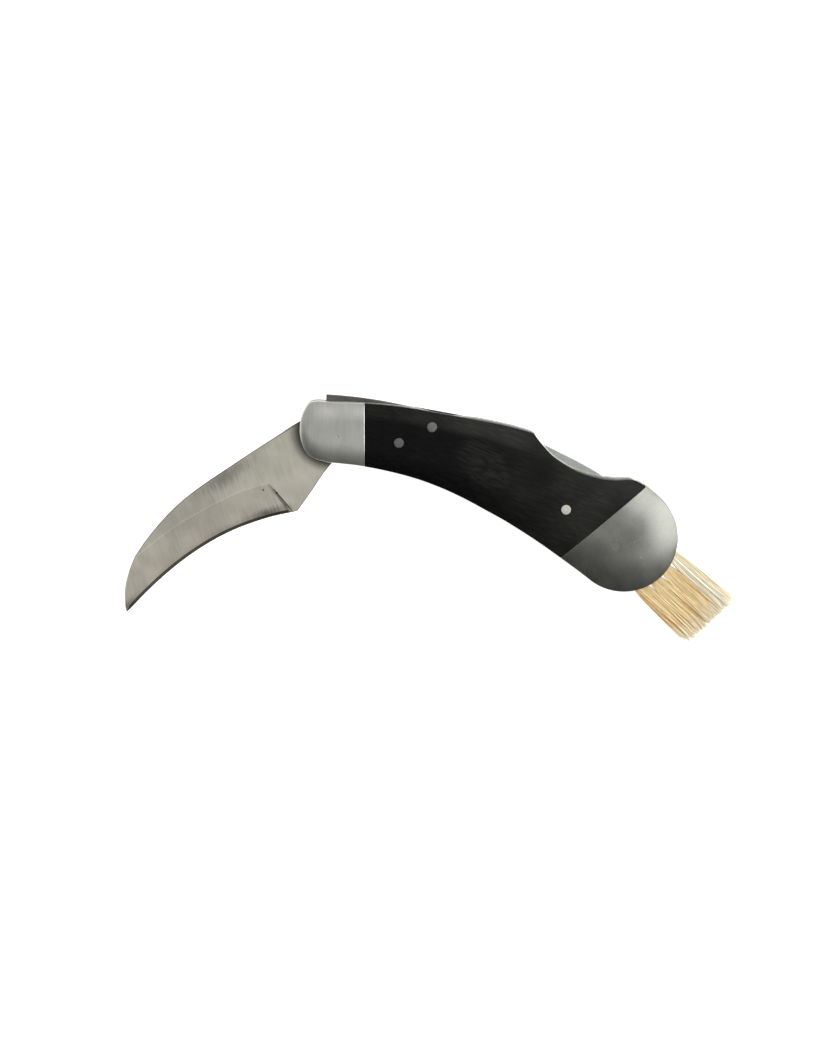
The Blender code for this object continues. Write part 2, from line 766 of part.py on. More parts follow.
def main():
    clear_scene()
    knife = new_collection("foraging_knife")
    cutters = new_collection("cutters")
    cutters.hide_render = True
    satin = new_material("satin_steel", (0.47, 0.48, 0.46), 0.38, 1)
    blade_steel = new_material("blade_steel", (0.50, 0.49, 0.46), 0.34, 1)
    bright = new_material("bright_steel", (0.75, 0.75, 0.74), 0.25, 1)
    spring_steel = new_material("spring_steel", (0.35, 0.36, 0.34), 0.40, 1)
    bronze = new_material("bronze", (0.60, 0.42, 0.22), 0.40, 1)
    wood = new_material("black_pakkawood", (0.012, 0.012, 0.012), 0.42, 0)
    bristle = new_material("bristle", (0.80, 0.70, 0.48), 0.60, 0)

    bores = bore_cutters(cutters)
    deep = 2 * (CREST_HEIGHT + CUT_OVERRUN)
    cutout = plate("cutout", cutout_outline(), deep, None, cutters)

    covers = make_covers(satin, wood, knife)
    for name, cover in covers.items():
        if name.startswith("front"):
            cut_with(cover, [bores["pivot"]])
        elif name.startswith("scale"):
            cut_with(cover, [cutout, bores["rivet"], bores["rocker"], bores["rear"]])
        else:
            cut_with(cover, [bores["butt"]])

    outline = [point for point, foot in outline_pairs()]
    for label, side in (("top", 1), ("bottom", -1)):
        liner = plate("liner_" + label, outline, LINER_THICKNESS, satin, knife)
        liner.location.z += side * (HALF_SLOT + LINER_THICKNESS / 2)
        cut_with(liner, [cutout, *bores.values()])

    make_pins(satin, bright, knife)
    make_washers(bronze, bores["pivot"], knife)
    cut_with(make_blade(blade_steel, knife), [bores["pivot"]])

    rocker = handle_point(*ROCKER_SHARES)
    bar = plate("lock_bar", bar_outline(), BAR_THICKNESS, spring_steel, knife, rocker)
    cut_with(bar, [bores["rocker"]])
    spring = ribbon(spring_line(), SPRING_THICKNESS)
    plate("lock_spring", spring, SPRING_WIDTH, spring_steel, knife)

    spring_seat = ribbon(spring_line()[:3], SPRING_THICKNESS + 2 * FIT_GAP)
    seat = plate("spring_seat", spring_seat, SLOT_WIDTH, None, cutters)
    pocket = plate("block_pocket", block_outline(FIT_GAP), SLOT_WIDTH, None, cutters)
    swept = blade_reach() + TIP_CLEARANCE
    sweep = rod("tip_sweep", swept, SLOT_WIDTH, (0, 0), None, cutters, SWEEP_STEPS)
    spacer = plate("butt_spacer", spacer_outline(), FILLER_THICKNESS, satin, knife)
    cut_with(spacer, [sweep, cutout, seat, pocket, bores["butt"]])

    block = plate("brush_block", block_outline(), FILLER_THICKNESS, satin, knife)
    for k, (across, face) in enumerate(tuft_places(), 1):
        cut_with(block, [tuft_notch(f"notch_{k}", across, face, cutters)])
        make_tuft(f"tuft_{k}", across, face, bristle, knife)


main()
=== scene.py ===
"""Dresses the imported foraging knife: finer pieces, materials, light and camera."""

import functools
import math
import random

import bmesh
import bpy
import numpy as np
from bpy.props import FloatProperty, FloatVectorProperty, IntProperty, PointerProperty
from mathutils import Matrix, Vector


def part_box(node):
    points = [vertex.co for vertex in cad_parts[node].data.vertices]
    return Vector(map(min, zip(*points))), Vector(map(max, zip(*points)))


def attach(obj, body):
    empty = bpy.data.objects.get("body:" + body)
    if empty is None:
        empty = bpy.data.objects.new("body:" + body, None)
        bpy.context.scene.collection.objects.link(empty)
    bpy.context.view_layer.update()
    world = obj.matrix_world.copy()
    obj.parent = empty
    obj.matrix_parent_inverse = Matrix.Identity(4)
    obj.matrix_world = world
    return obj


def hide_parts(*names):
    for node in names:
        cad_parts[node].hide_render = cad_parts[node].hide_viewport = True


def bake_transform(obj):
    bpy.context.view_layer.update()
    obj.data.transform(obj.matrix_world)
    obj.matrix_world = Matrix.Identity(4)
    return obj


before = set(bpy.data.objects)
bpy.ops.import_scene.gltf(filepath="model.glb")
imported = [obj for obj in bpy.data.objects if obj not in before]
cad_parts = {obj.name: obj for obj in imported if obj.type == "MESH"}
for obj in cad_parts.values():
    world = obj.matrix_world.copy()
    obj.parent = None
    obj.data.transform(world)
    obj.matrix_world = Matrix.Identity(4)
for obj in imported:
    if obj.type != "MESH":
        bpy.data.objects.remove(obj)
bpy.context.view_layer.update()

bl_info = {
    "name": "Folding foraging knife",
    "version": (1, 0, 0),
    "blender": (4, 5, 0),
    "location": "3D View > Sidebar > Knife",
    "description": "Builds the pieces of a folding foraging knife round its packed frame",
    "category": "Add Mesh",
}

# Plan of the handle: its middle line is an arc from the front bolster to the butt
ARC_START = math.radians(-2.7)
NOSE_CENTRE = Vector((-0.0017, 0.0016))
BACK_SWELL_SHARES = (
    (0, -0.105), (0.10, -0.04), (0.21, 0.035), (0.30, 0.086), (0.38, 0.17), (0.45, 0.295),
    (0.53, 0.455), (0.59, 0.560), (0.75, 0.80), (0.90, 1.00), (0.96, 1.025), (1, 1),
)
BELLY_SWELL_SHARES = (
    (0, 0.035), (0.11, 0.075), (0.19, 0.13), (0.29, 0.21), (0.38, 0.320), (0.48, 0.480),
    (0.55, 0.60), (0.63, 0.70), (0.71, 0.80), (0.79, 0.883), (0.87, 0.953), (1, 1),
)
NOSE_SHARES = (
    (0.62, 0.925), (0.72, 0.885), (0.810, 0.765), (0.903, 0.57), (0.985, 0.29), (1.003, 0.05),
    (0.98, -0.23), (0.91, -0.47), (0.81, -0.67), (0.66, -0.83), (0.43, -0.94), (0.21, -0.985),
)
NOSE_FOOT_SHARE = 0.6
CUTOUT_START_SHARE = 0.602
CUTOUT_SHARES = (
    (0, 1), (0.045, 0.91), (0.09, 0.837), (0.15, 0.755), (0.21, 0.687), (0.32, 0.625),
    (0.44, 0.600), (0.555, 0.625), (0.668, 0.690), (0.77, 0.79), (0.885, 0.955), (1, 1),
)
CUTOUT_RISE = 0.010
FRONT_CREST_SHARE = 0.34
BUTT_CREST_SHARE = 0.14
FRONT_CROWN_POWER = 2.3
BUTT_CROWN_POWER = 2.25
LINER_SUNK = 0.00030
LINER_SHOWN = 0.00012
LINER_SHOWN_RUN = (0.020, 0.028)
LINER_PROUD = (0.00012, 0.00062)
LINER_PROUD_RUN = (0.070, 0.077)
LINER_EASE_SHARE = 0.08
LINER_HUMP = 0.00072
LINER_HUMP_RUN = (0.0335, 0.0400, 0.0560, 0.0620)
CROWN_STEPS = 12
BROW_STEPS = 3
FIT_GAP = 0.00005
FRONT_JOINT = 0.0080
REAR_JOINT_SETBACK = 0.0075
REAR_JOINT_SKEW = math.radians(-12.3)
SIDE_STEPS = 56
CUTOUT_STEPS = 56
BUTT_STEPS = 44
NOSE_STEPS = 4
SEARCH_STEPS = 30
FINE_STEPS = 16

# Pins, as shares of the arc and of the half width, and what is turned or bored
RIVET_SHARES = (0.216, -0.116)
ROCKER_SHARES = (0.307, 0.547)
REAR_PIN_SHARES = (0.795, -0.166)
BUTT_PIN_SHARES = (0.994, -0.203)
PIVOT_PIN_SINK = 0.0018
PIN_RECESS = 0.00005
RUNNING_GAP = 0.00005
FLUSH_GAP = 0.00001
PUNCH_RADIUS = 0.00042
PUNCH_DEPTH = 0.00060
PIN_DOME = 0.00002
PIN_RIM_SHARE = 0.06
FINE_RIM_SHARE = 0.015
PIN_RIM = ((0, 2), (0.3, 0.9), (1, 0.3))
PIN_DOME_SHARES = (0.8, 0.55, 0.28, 0)
WASHER_SOFT_SHARE = 0.3
ROUND_STEPS = 48

# Blade: shares of its reach and of the bow of its spine
TIP_TO_BUTT_CENTRE = 0.00867
REST_ANGLE = math.radians(220)
OPENING_LEFT = math.radians(35)
SPINE_SHARES = (
    (0.072, 0.692), (0.168, 0.761), (0.286, 0.843), (0.390, 0.905), (0.493, 0.965),
    (0.577, 0.988), (0.653, 0.969), (0.730, 0.911), (0.794, 0.838), (0.855, 0.743),
)
POINT_SHARES = (
    (0.855, 0.743), (0.912, 0.570), (0.963, 0.352), (0.986, 0.200), (1.004, 0.062), (1.008, 0),
)
POINT_THICKNESS_SHARES = (
    (0.855, 1), (0.912, 0.90), (0.965, 0.62), (0.995, 0.30), (1.008, 0.1),
)
GRIND_SHARES = (
    (0.311, 0.186), (0.374, 0.344), (0.466, 0.500), (0.560, 0.606), (0.647, 0.689),
    (0.729, 0.728), (0.796, 0.738), (0.855, 0.743),
)
EDGE_SHARES = (
    (0.317, -0.562), (0.363, -0.428), (0.427, -0.276), (0.517, -0.106), (0.616, 0.011),
    (0.724, 0.073), (0.833, 0.078), (0.885, 0.063), (0.932, 0.043), (0.968, 0.018), (1.008, 0),
)
HEEL_SHARES = (0.290, -0.632)
RICASSO_SHARES = ((0.273, -0.609), (0.206, -0.514), (0.099, -0.358))
PLUNGE_RUN_SHARES = (0, 0.14, 0.4, 0.7, 1)
PLUNGE_STEPS = len(PLUNGE_RUN_SHARES) - 1
PLUNGE_LENGTH = 0.0007
GRIND_STEPS = 64
POINT_STEPS = 22
RICASSO_STEPS = 4
SPINE_STEPS = 6
UPPER_SHARE = 0.9
BAND_LIMIT_SHARE = 0.4
RIDGE_LIMIT_SHARE = 0.2
BLADE_GRIND_ANGLE = -REST_ANGLE + math.radians(20)
BEVEL_ROWS = 5
SHOULDER_HALF = 0.00040
KEEN_HALF = 0.00006
# Finishes of the blade's faces; some of their tints below are painted light and shade
FINISH_BEVEL, FINISH_RIDGE_PAINTED_HIGHLIGHT, FINISH_KEEN, FINISH_DARK_WALL, FINISH_GROOVE_PAINTED_DARK = 1, 2, 3, 4, 5
GROOVE_ROW = 2
PLUNGE_FOOT_SHARE = 0.60
FINISH_STEPS = 8
# Tints by finish: painted highlight on the ridge, painted dark reflection on the sharpened edge
# and in the groove, darker walls
FINISH_TINTS = {
    FINISH_BEVEL: (1.05, 1.02, 1.02),
    FINISH_RIDGE_PAINTED_HIGHLIGHT: (1.22, 1.20, 1.19),
    FINISH_KEEN: (0.26, 0.23, 0.21),
    FINISH_DARK_WALL: (0.22, 0.21, 0.20),
    FINISH_GROOVE_PAINTED_DARK: (0.26, 0.25, 0.24),
}

# Marks on the blade, in plan: painted shade in a ring round the nose, soft painted dark
# reflections and shade by the spine, the heel and the tip, and pits
PAINTED_NOSE_SHADE_RING = (0.0092, 0.0132)
PAINTED_NOSE_SHADE_LEVEL = 0.12
PAINTED_DARK_REFLECTIONS = (
    ((-0.0330, -0.0118), math.radians(31), (0.0125, 0.0036), 0.60),
    ((-0.0196, -0.0226), math.radians(15), (0.0090, 0.0021), 0.42),
    ((-0.0612, -0.0497), math.radians(48), (0.0060, 0.0018), 0.55),
    ((-0.0420, -0.0200), math.radians(42), (0.0200, 0.0070), 0.78),
    ((-0.0190, -0.0004), math.radians(28.5), (0.0120, 0.0007), 0.25),
)
PITS = (
    ((-0.0220, -0.0161), 0.00036, 0.08),
    ((-0.0180, -0.0170), 0.00040, 0.15),
    ((-0.0235, -0.0184), 0.00030, 0.60),
)

# Fine hatching that breaks up the painted dark reflections and shade: width and length of a mark
HATCH_MARK = 0.00035
HATCH_RUN = 0.0040

# Scratches on the rear bolster: place, angle, half length and half width
SCRATCHES = (
    ((0.0822, -0.0306, 0.0141), math.radians(112), (0.0006, 0.00012)),
    ((0.0873, -0.0309, 0.0141), math.radians(62), (0.0005, 0.00011)),
    ((0.0893, -0.0356, 0.0138), math.radians(-38), (0.0008, 0.00011)),
)

SCRATCH_DEPTH = 0.001

# The wood's grain, turned and scaled per metre, and its figured patch in plan
FIGURE_CENTRE = (0.0440, -0.0085)
FIGURE_ANGLE = math.radians(-38)
FIGURE_HALF = (0.0120, 0.0070)
GRAIN_ANGLE = math.radians(20)
GRAIN_SCALE = (260, 1800, 1800)

# Tang and lock bar
TANG_RADIUS = 0.0068
TANG_SPINE_RISE = 0.0092
NOTCH_DEPTH = 0.00115
LUG_REACH = 0.0034
LUG_LENGTH = 0.0040
LUG_GAP = 0.0001
CAM_START = math.radians(46)
BAR_LIFT = math.radians(-2.1)
BAR_TOP_SHARES = (
    (-0.023, 1.124), (0.125, 1.052), (0.21, 1.004), (0.30, 0.970), (0.377, 0.950), (0.451, 0.942),
    (0.529, 0.938), (0.593, 0.933), (0.638, 0.922), (0.696, 0.902), (0.754, 0.889), (0.812, 0.874),
    (0.862, 0.846),
)
BAR_DEPTH = 0.0034
BAR_TAIL_DEPTH = 0.0026
BAR_EYE_WALL = 0.0009
BAR_EYE_ARC = (math.radians(29), math.radians(151))
BAR_EYE_SPAN_SHARE = 0.062
BAR_STEPS = 20
BAR_TOP_STEPS = 60
# The bar's tints at its front and its back, each for the upper face and the edges: painted
# shade darkens the front, with reddish edges, and painted highlight brightens the back's edges
BAR_PAINTED_LIGHT_TINTS = (
    ((0.27, 0.25, 0.24, 1), (0.42, 0.26, 0.20, 1)),
    ((0.92, 0.92, 0.92, 1), (1.8, 1.8, 1.75, 1)),
)

# Leaf spring
SPRING_THICKNESS = 0.0009
SPRING_TIP_SHARE = 0.60
SPRING_ROOT = 0.0035
SPRING_ROOT_SHARES = (0.905, 0.175)
SPRING_TIP_RUN = 0.0015
SPRING_BEND = 0.0008
SPRING_CURL = math.radians(25)
SPRING_RUN_SHARES = (0.25, 0.5, 0.75)
SPRING_STEPS = 6

# Butt filler and brush
TIP_CLEARANCE = 0.00175
SWEEP_STEPS = 288
FILLER_INSET = 0.0001
FILLER_START_SHARE = 0.75
HOLDER_WALL = 0.00196
HOLDER_MARGIN = 0.0014
BRUSH_ANGLE = math.radians(-42)
BRUSH_OFFSET = -0.00106
BRUSH_END = 0.03665
BRUSH_END_SLANT = 0.100
TUFT_COUNT = 4
TUFT_PITCH = 0.00450
TUFT_WIDTH = 0.0030
TUFT_THICKNESS = 0.0026
TUFT_ROOT = 0.0022
TUFT_RECESS = 0.0006
TUFT_END_WIDTH = 0.0048
TUFT_END_THICKNESS = 0.0042
FAN_POWER = 5.5
FAN_POWER_BELOW = 8.0
SPREAD_BELOW = 0.0001
PALE_TUFT_SHIFT = -0.80
STRAND_SHADE_MIX = 0.40
STRAND_SWAY = 0.00022
STRAND_WAVE = 0.0031
STRAND_STRAY = 0.00058
STRAND_RAGGED_SHARE = 0.095
STRAND_RUN_SHARES = (0, 0.05, 0.13, 0.28, 0.5, 0.74, 0.9, 1)
STRAND_SIZE_SHARES = (1, 1, 1, 0.97, 0.95, 0.9, 0.75, 0.45)
TUFT_SEED = 11
TUFT_FILL_SHARE = 0.96
STRAND_JITTER = 0.4
STRAND_SIDES = 4

# Modelling
MERGE_DISTANCE = 0.000001
CUT_OVERRUN = 0.0020
SHARP_ANGLE = math.radians(32)
CORNER_ANGLE = math.radians(60)
FLAT_TURN = math.radians(1.5)
FLAT_AREA = 0.000003
LEVEL_NORMAL = 0.99999
UPPER_NORMAL = 0.88
JOINT_TURN = math.radians(15)

# Stage: camera, lamp and floor. A dark flag hangs over the belly's side of the white
# surroundings: its range is from and to along that side, then the light at each end
CAMERA_AIM = Vector((0.02320, -0.02479, 0.0144))
CAMERA_TILT = math.radians(4.5)
CAMERA_DISTANCE = 1.7012
CAMERA_LENS = 200
CAMERA_SENSOR = 36
LAMP_PLACE = Vector((0.59, 0.16, 0.58))
LAMP_AIM = Vector((0.02, -0.02, 0))
LAMP_SIZE = 0.74
LAMP_POWER = 6.4
FLOOR_SIZE = 1.5
FLOOR_GLOW = 0.88
FLAG_SIDE = (0.25, 0.97, 0)
FLAG_RANGE = (-0.85, 0.21, 0.10, 0.79)
HORIZON_RANGE = (0.10, 0.22)


def from_hex(text):
    """An sRGB hex colour as linear red, green and blue, with full alpha."""
    parts = [int(text[k : k + 2], 16) / 255 for k in (1, 3, 5)]
    linear = [p / 12.92 if p <= 0.04045 else ((p + 0.055) / 1.055) ** 2.4 for p in parts]
    return (*linear, 1.0)


def thickness_of(node):
    low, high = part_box(node)
    return high.z - low.z


MIDDLE = sum(corner.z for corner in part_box("blade")) / 2


def length_prop(name, description, default):
    return FloatProperty(
        name=name, description=description, default=default, min=0, unit="LENGTH", precision=5
    )


def colour_prop(name, description, default):
    return FloatVectorProperty(
        name=name, description=description, default=from_hex(default), size=4, min=0, max=1,
        subtype="COLOR",
    )


class KnifeSizes(bpy.types.PropertyGroup):
    """Sizes of the knife, in metres."""

    arc_length: length_prop(
        "Handle length", "Along the middle line, from the nose's centre to the butt's", 0.0930
    )
    arc_radius: length_prop("Handle bend", "Radius of the handle's middle line", 0.1524)
    front_half_width: length_prop("Front half width", "Half width at the nose", 0.0091)
    butt_radius: length_prop("Butt radius", "Radius of the round butt", 0.01594)
    nose_length: length_prop("Nose length", "How far the front bolster's nose reaches", 0.0094)
    cover_thickness: length_prop(
        "Cover thickness", "Bolsters and scales at their crest", thickness_of("rear_bolster_top")
    )
    liner_thickness: length_prop(
        "Liner thickness", "Steel liner under each cover", thickness_of("liner_top")
    )
    slot_width: length_prop("Slot width", "Between the two liners", 0.0029)
    front_drop: length_prop("Front crown", "How far the front bolster's crown falls", 0.00105)
    butt_drop: length_prop("Butt crown", "How far the rear bolster's crown falls", 0.0026)
    edge_rounding: length_prop("Edge rounding", "Rounding of the covers' outer edges", 0.00017)
    joint_rounding: length_prop(
        "Joint rounding", "Rounding of the covers' joint edges and the blade's spine", 0.00018
    )
    plate_rounding: length_prop("Plate rounding", "Rounding of the flat plates' edges", 0.00010)
    blade_thickness: length_prop("Blade thickness", "At the spine", thickness_of("blade"))
    blade_bow: length_prop("Blade bow", "How far the spine bows from pivot to tip", 0.01490)
    # The ridge's brightness is a painted highlight
    edge_band: length_prop("Edge band", "Width of the sharpened edge", 0.00105)
    ridge_width: length_prop("Ridge width", "Bright ridge along the grind line", 0.00048)
    bar_thickness: length_prop("Bar thickness", "Lock bar's thickness", thickness_of("lock_bar"))
    bar_rounding: length_prop("Bar rounding", "Rounding of the lock bar's edges", 0.00028)
    spring_width: length_prop(
        "Spring width", "Leaf spring across the slot", thickness_of("lock_spring")
    )
    pin_radius: length_prop("Pin radius", "Radius of the small pins", 0.0015)
    pivot_radius: length_prop("Pivot radius", "Radius of the blade's pivot", 0.0020)
    washer_radius: length_prop("Washer radius", "Outer radius of the washers", 0.0045)
    strand_radius: length_prop("Bristle radius", "Radius of one bristle", 0.000105)
    strand_columns: IntProperty(
        name="Bristle columns", description="Bristles across one tuft", default=21, min=4
    )
    strand_rows: IntProperty(
        name="Bristle rows", description="Bristles through one tuft", default=13, min=4
    )


class KnifeColours(bpy.types.PropertyGroup):
    """Colours of the knife's finishes."""

    bolster: colour_prop("Bolster", "Satin ground stainless steel", "#bcbcb5")
    bolster_dull: colour_prop("Bolster, dull", "Duller streaks in the ground steel", "#a8a9a2")
    # The rear bolster's colours are darker than the front bolster's as painted shade
    butt: colour_prop("Rear bolster", "Blasted stainless steel", "#80817b")
    butt_dull: colour_prop("Rear bolster, dull", "Duller specks in the blasted steel", "#6c6d67")
    blade: colour_prop("Blade", "Stainless blade steel", "#cbc8ba")
    blade_dull: colour_prop("Blade, dull", "Duller grinding marks on the blade", "#b4b1a4")
    bright: colour_prop("Bright pin", "Polished pin head", "#f2f1e9")
    bright_dull: colour_prop("Bright pin, dull", "Fine scratches on the pin head", "#cfcec6")
    rivet: colour_prop("Rivet", "Satin rivet head", "#7c7c79")
    rivet_dull: colour_prop("Rivet, dull", "Duller patches on the rivet head", "#60605e")
    spring: colour_prop("Spring steel", "Dark satin spring steel", "#c1c3bd")
    spring_dull: colour_prop("Spring steel, dull", "Darker streaks in the spring steel", "#9fa59f")
    bronze: colour_prop("Bronze", "Phosphor bronze washer", "#c39a62")
    bronze_dull: colour_prop("Bronze, dull", "Darker patches on the bronze", "#9a7444")
    wood: colour_prop("Pakkawood", "Black resin filled wood", "#040404")
    wood_grain: colour_prop("Pakkawood grain", "Paler grain in the black wood", "#100f0f")
    # A paler tone, laid on as painted sheen along the back and towards the butt and as grain in
    # the figured patch
    wood_sheen_and_figure: colour_prop("Pakkawood, worn", "Paler wood along the back and the butt", "#2a2a28")
    bristle: colour_prop("Bristle", "Straw coloured bristle", "#f4e2b3")
    bristle_dark: colour_prop("Bristle, dark", "Golden brown bristle", "#d6a35c")
    bristle_tip: colour_prop("Bristle tip", "Pale end of the bristles", "#f6f3e6")
    floor: colour_prop("Floor", "Plain pale floor", "#f4f4f3")


# Plan of the knife


def lerp(start, end, share):
    return start + (end - start) * share


def spread(first, last, steps):
    return [lerp(first, last, step / steps) for step in range(steps + 1)]


def polar(radius, angle):
    return Vector((radius * math.cos(angle), radius * math.sin(angle)))


def turned(point, angle):
    """A plan point turned about the origin."""
    return Vector(point[:2]) @ Matrix.Rotation(-angle, 2)


def eased(share):
    return share * share * (3 - 2 * share)


def smooth_value(table, share):
    """The value at a share of a smooth curve through the table's rows."""
    places, values = (np.array(column, float) for column in zip(*table))
    slopes = np.gradient(values, places)
    k = int(np.clip(np.searchsorted(places, share) - 1, 0, len(places) - 2))
    run = places[k + 1] - places[k]
    t = (share - places[k]) / run
    start = (2 * t**3 - 3 * t**2 + 1) * values[k] + (t**3 - 2 * t**2 + t) * run * slopes[k]
    end = (3 * t**2 - 2 * t**3) * values[k + 1] + (t**3 - t**2) * run * slopes[k + 1]
    return float(start + end)


def distances(points):
    """How far along the line each point is."""
    return list(np.cumsum([0, *[(b - a).length for a, b in zip(points, points[1:])]]))


def smooth_line(points, steps, runs=None):
    """Points of a smooth line through the given ones, by the distance along it."""
    runs = runs or distances(points)
    tables = [list(zip(runs, [point[axis] for point in points])) for axis in range(2)]
    fine = [lerp(a, b, step / steps) for a, b in zip(runs, runs[1:]) for step in range(steps)]
    fine.append(runs[-1])
    return [Vector([smooth_value(table, run) for table in tables]) for run in fine]


def even_line(points, count):
    """Points at even distances along a smooth line through the given ones."""
    fine = smooth_line(points, FINE_STEPS)
    return placed_along(fine, np.linspace(0, 1, count + 1))


def placed_along(points, shares):
    """The points of a line at shares of its length."""
    runs = distances(points)
    wanted = np.array(shares) * runs[-1]
    axes = [np.interp(wanted, runs, [point[axis] for point in points]) for axis in range(2)]
    return [Vector(pair) for pair in zip(*axes)]


class Plan:
    """Where things are in plan, from the sizes in the panel."""

    def __init__(self, sizes):
        self.sizes = sizes
        self.cover_base = sizes.slot_width / 2 + sizes.liner_thickness + FIT_GAP
        self.crest = self.cover_base + sizes.cover_thickness

    def heading(self, share):
        return ARC_START - share * self.sizes.arc_length / self.sizes.arc_radius

    def centre(self, share):
        """The middle line's point at a share of its length."""
        angle = self.heading(share)
        x = math.sin(ARC_START) - math.sin(angle)
        y = math.cos(angle) - math.cos(ARC_START)
        return NOSE_CENTRE + self.sizes.arc_radius * Vector((x, y))

    def point(self, share, across_share, outward=0):
        """A point by share of the arc and of the half width, moved outward."""
        table = BACK_SWELL_SHARES if across_share > 0 else BELLY_SWELL_SHARES
        swell = smooth_value(table, share)
        half = lerp(self.sizes.front_half_width, self.sizes.butt_radius, swell)
        offset = across_share * half + outward
        return self.centre(share) + polar(offset, self.heading(share) + math.pi / 2)

    def butt_point(self, along, across):
        """A point from the butt's centre, along and across the brush's line."""
        return self.centre(1) + turned((along, across), BRUSH_ANGLE)

    def joints(self):
        """The two joints between the covers: a point on each and the way through it."""
        way = polar(1, self.heading(1) + REAR_JOINT_SKEW)
        front = Vector((FRONT_JOINT, 0))
        return (front, Vector((1, 0))), (self.centre(1) - REAR_JOINT_SETBACK * way, way)

    def cutout_end(self):
        """The share of the arc where the rear joint meets the back."""
        place, way = self.joints()[1]
        low, high = CUTOUT_START_SHARE, 1
        for _ in range(SEARCH_STEPS):
            middle = (low + high) / 2
            if (self.point(middle, 1) - place).dot(way) < 0:
                low = middle
            else:
                high = middle
        return low

    def columns(self):
        """The covers' columns, anticlockwise: crest foot, rim and how far out each reaches."""
        found = [(self.centre(s), self.point(s, -1), 1) for s in spread(0, 1, SIDE_STEPS)]
        centre = self.centre(1)
        for turn in spread(-math.pi / 2, math.pi / 2, BUTT_STEPS)[1:-1]:
            rim = centre + polar(self.sizes.butt_radius, self.heading(1) + turn)
            found.append((centre, rim, 1))
        end = self.cutout_end()
        notch = [lerp(CUTOUT_START_SHARE, end, run) for run in spread(0, 1, CUTOUT_STEPS)]
        plain = [s for s in spread(0, 1, SIDE_STEPS) if not CUTOUT_START_SHARE <= s <= end]
        for share in sorted(notch + plain, reverse=True):
            run = (share - CUTOUT_START_SHARE) / (end - CUTOUT_START_SHARE)
            reach = smooth_value(CUTOUT_SHARES, run) if 0 < run < 1 else 1
            found.append((self.centre(share), self.point(share, 1), min(reach, 1)))
        return found + self.nose_columns()

    def nose_columns(self):
        """The columns round the nose, between the back's first point and the belly's."""
        near = 1 / SIDE_STEPS
        rims = [self.point(near, 1), self.point(0, 1)]
        feet = [self.centre(near), self.centre(0)]
        for ahead, across in NOSE_SHARES:
            tip = (-ahead * self.sizes.nose_length, across * self.sizes.front_half_width)
            foot = (-ahead * self.sizes.nose_length * NOSE_FOOT_SHARE, 0)
            rims.append(NOSE_CENTRE + turned(tip, ARC_START))
            feet.append(NOSE_CENTRE + turned(foot, ARC_START))
        rims += [self.point(0, -1), self.point(near, -1)]
        feet += [self.centre(0), self.centre(near)]
        runs = distances(rims)
        pairs = zip(smooth_line(feet, NOSE_STEPS, runs), smooth_line(rims, NOSE_STEPS, runs))
        inner = list(pairs)[NOSE_STEPS + 1 : -NOSE_STEPS - 1]
        return [(foot, rim, 1) for foot, rim in inner]

    def liner_outline(self):
        """The covers' outline, drawn in a little, but proud of it before and in the cut-out."""
        found = []
        for foot, rim, reach in self.columns():
            proud = min((1 - reach) / LINER_EASE_SHARE, 1)
            out = (rim - foot).normalized()
            plain = float(np.interp(rim.x, LINER_SHOWN_RUN, (LINER_SHOWN, -LINER_SUNK)))
            if out.y > 0:
                plain += LINER_HUMP * float(np.interp(rim.x, LINER_HUMP_RUN, (0, 1, 1, 0)))
            stand = float(np.interp(rim.x, LINER_PROUD_RUN, LINER_PROUD))
            found.append(lerp(foot, rim, reach) + lerp(plain, stand, proud) * out)
        return found

    def handle_share(self, place):
        """How far a place lies from the nose's centre, as a share of the way to the butt's."""
        run = (self.centre(1) - NOSE_CENTRE).length
        return min((place - NOSE_CENTRE).length / run, 1)

    def crest_share(self, rim):
        """The flat part of the crown's half width: the butt is domed nearly all over."""
        share = max(2 * self.handle_share(rim) - 1, 0)
        return lerp(FRONT_CREST_SHARE, BUTT_CREST_SHARE, share)

    def crown_fall(self, rim, across_share):
        """How far the crown lies below its crest at a share of the way out to the rim."""
        share = self.handle_share(rim)
        crest = self.crest_share(rim)
        ring = max((abs(across_share) - crest) / (1 - crest), 0)
        power = lerp(FRONT_CROWN_POWER, BUTT_CROWN_POWER, share)
        return lerp(self.sizes.front_drop, self.sizes.butt_drop, share) * ring**power

    def pin_height(self, shares):
        """How far a pin's head stands above the middle plane."""
        place = self.point(*shares)
        return self.crest - self.crown_fall(place, shares[1]) - PIN_RECESS

    # Blade

    def reach(self):
        """From the pivot to the blade's tip."""
        return self.centre(1).length - TIP_TO_BUTT_CENTRE

    def blade_line(self, pairs):
        """Points of the blade's own frame; its spine is on the -Y side."""
        return [Vector((x * self.reach(), -y * self.sizes.blade_bow)) for x, y in pairs]

    def tang(self):
        """From the ricasso round the cam to the shoulder, in the blade's own frame."""
        lug_rear = LUG_LENGTH - LUG_REACH + LUG_GAP
        shoulder = -LUG_REACH - LUG_GAP
        floor = TANG_RADIUS - NOTCH_DEPTH
        back = OPENING_LEFT - REST_ANGLE
        top = turned((lug_rear, math.sqrt(TANG_RADIUS**2 - lug_rear**2)), back)
        cam_end = math.atan2(top.y, top.x) % math.tau
        cam = [polar(TANG_RADIUS, angle) for angle in spread(CAM_START, cam_end, ROUND_STEPS)]
        corners = ((lug_rear, floor), (shoulder, floor), (shoulder, TANG_SPINE_RISE))
        return [*cam, *[turned(corner, back) for corner in corners]]

    # Lock bar and spring

    def lifted(self, point):
        """A point of the locked bar, turned about the rocker pin to where it rides."""
        rocker = self.point(*ROCKER_SHARES)
        return rocker + turned(point - rocker, BAR_LIFT)

    def bar_point(self, share, depth=0):
        """A point of the raised bar, a depth below its top line."""
        return self.lifted(self.point(share, smooth_value(BAR_TOP_SHARES, share), -depth))

    def bar_depth(self, share):
        """The bar's depth behind its eye, tapering to the tail."""
        start = ROCKER_SHARES[0] + BAR_EYE_SPAN_SHARE
        run = (share - start) / (BAR_TOP_SHARES[-1][0] - start)
        return lerp(BAR_DEPTH, BAR_TAIL_DEPTH, min(max(run, 0), 1))

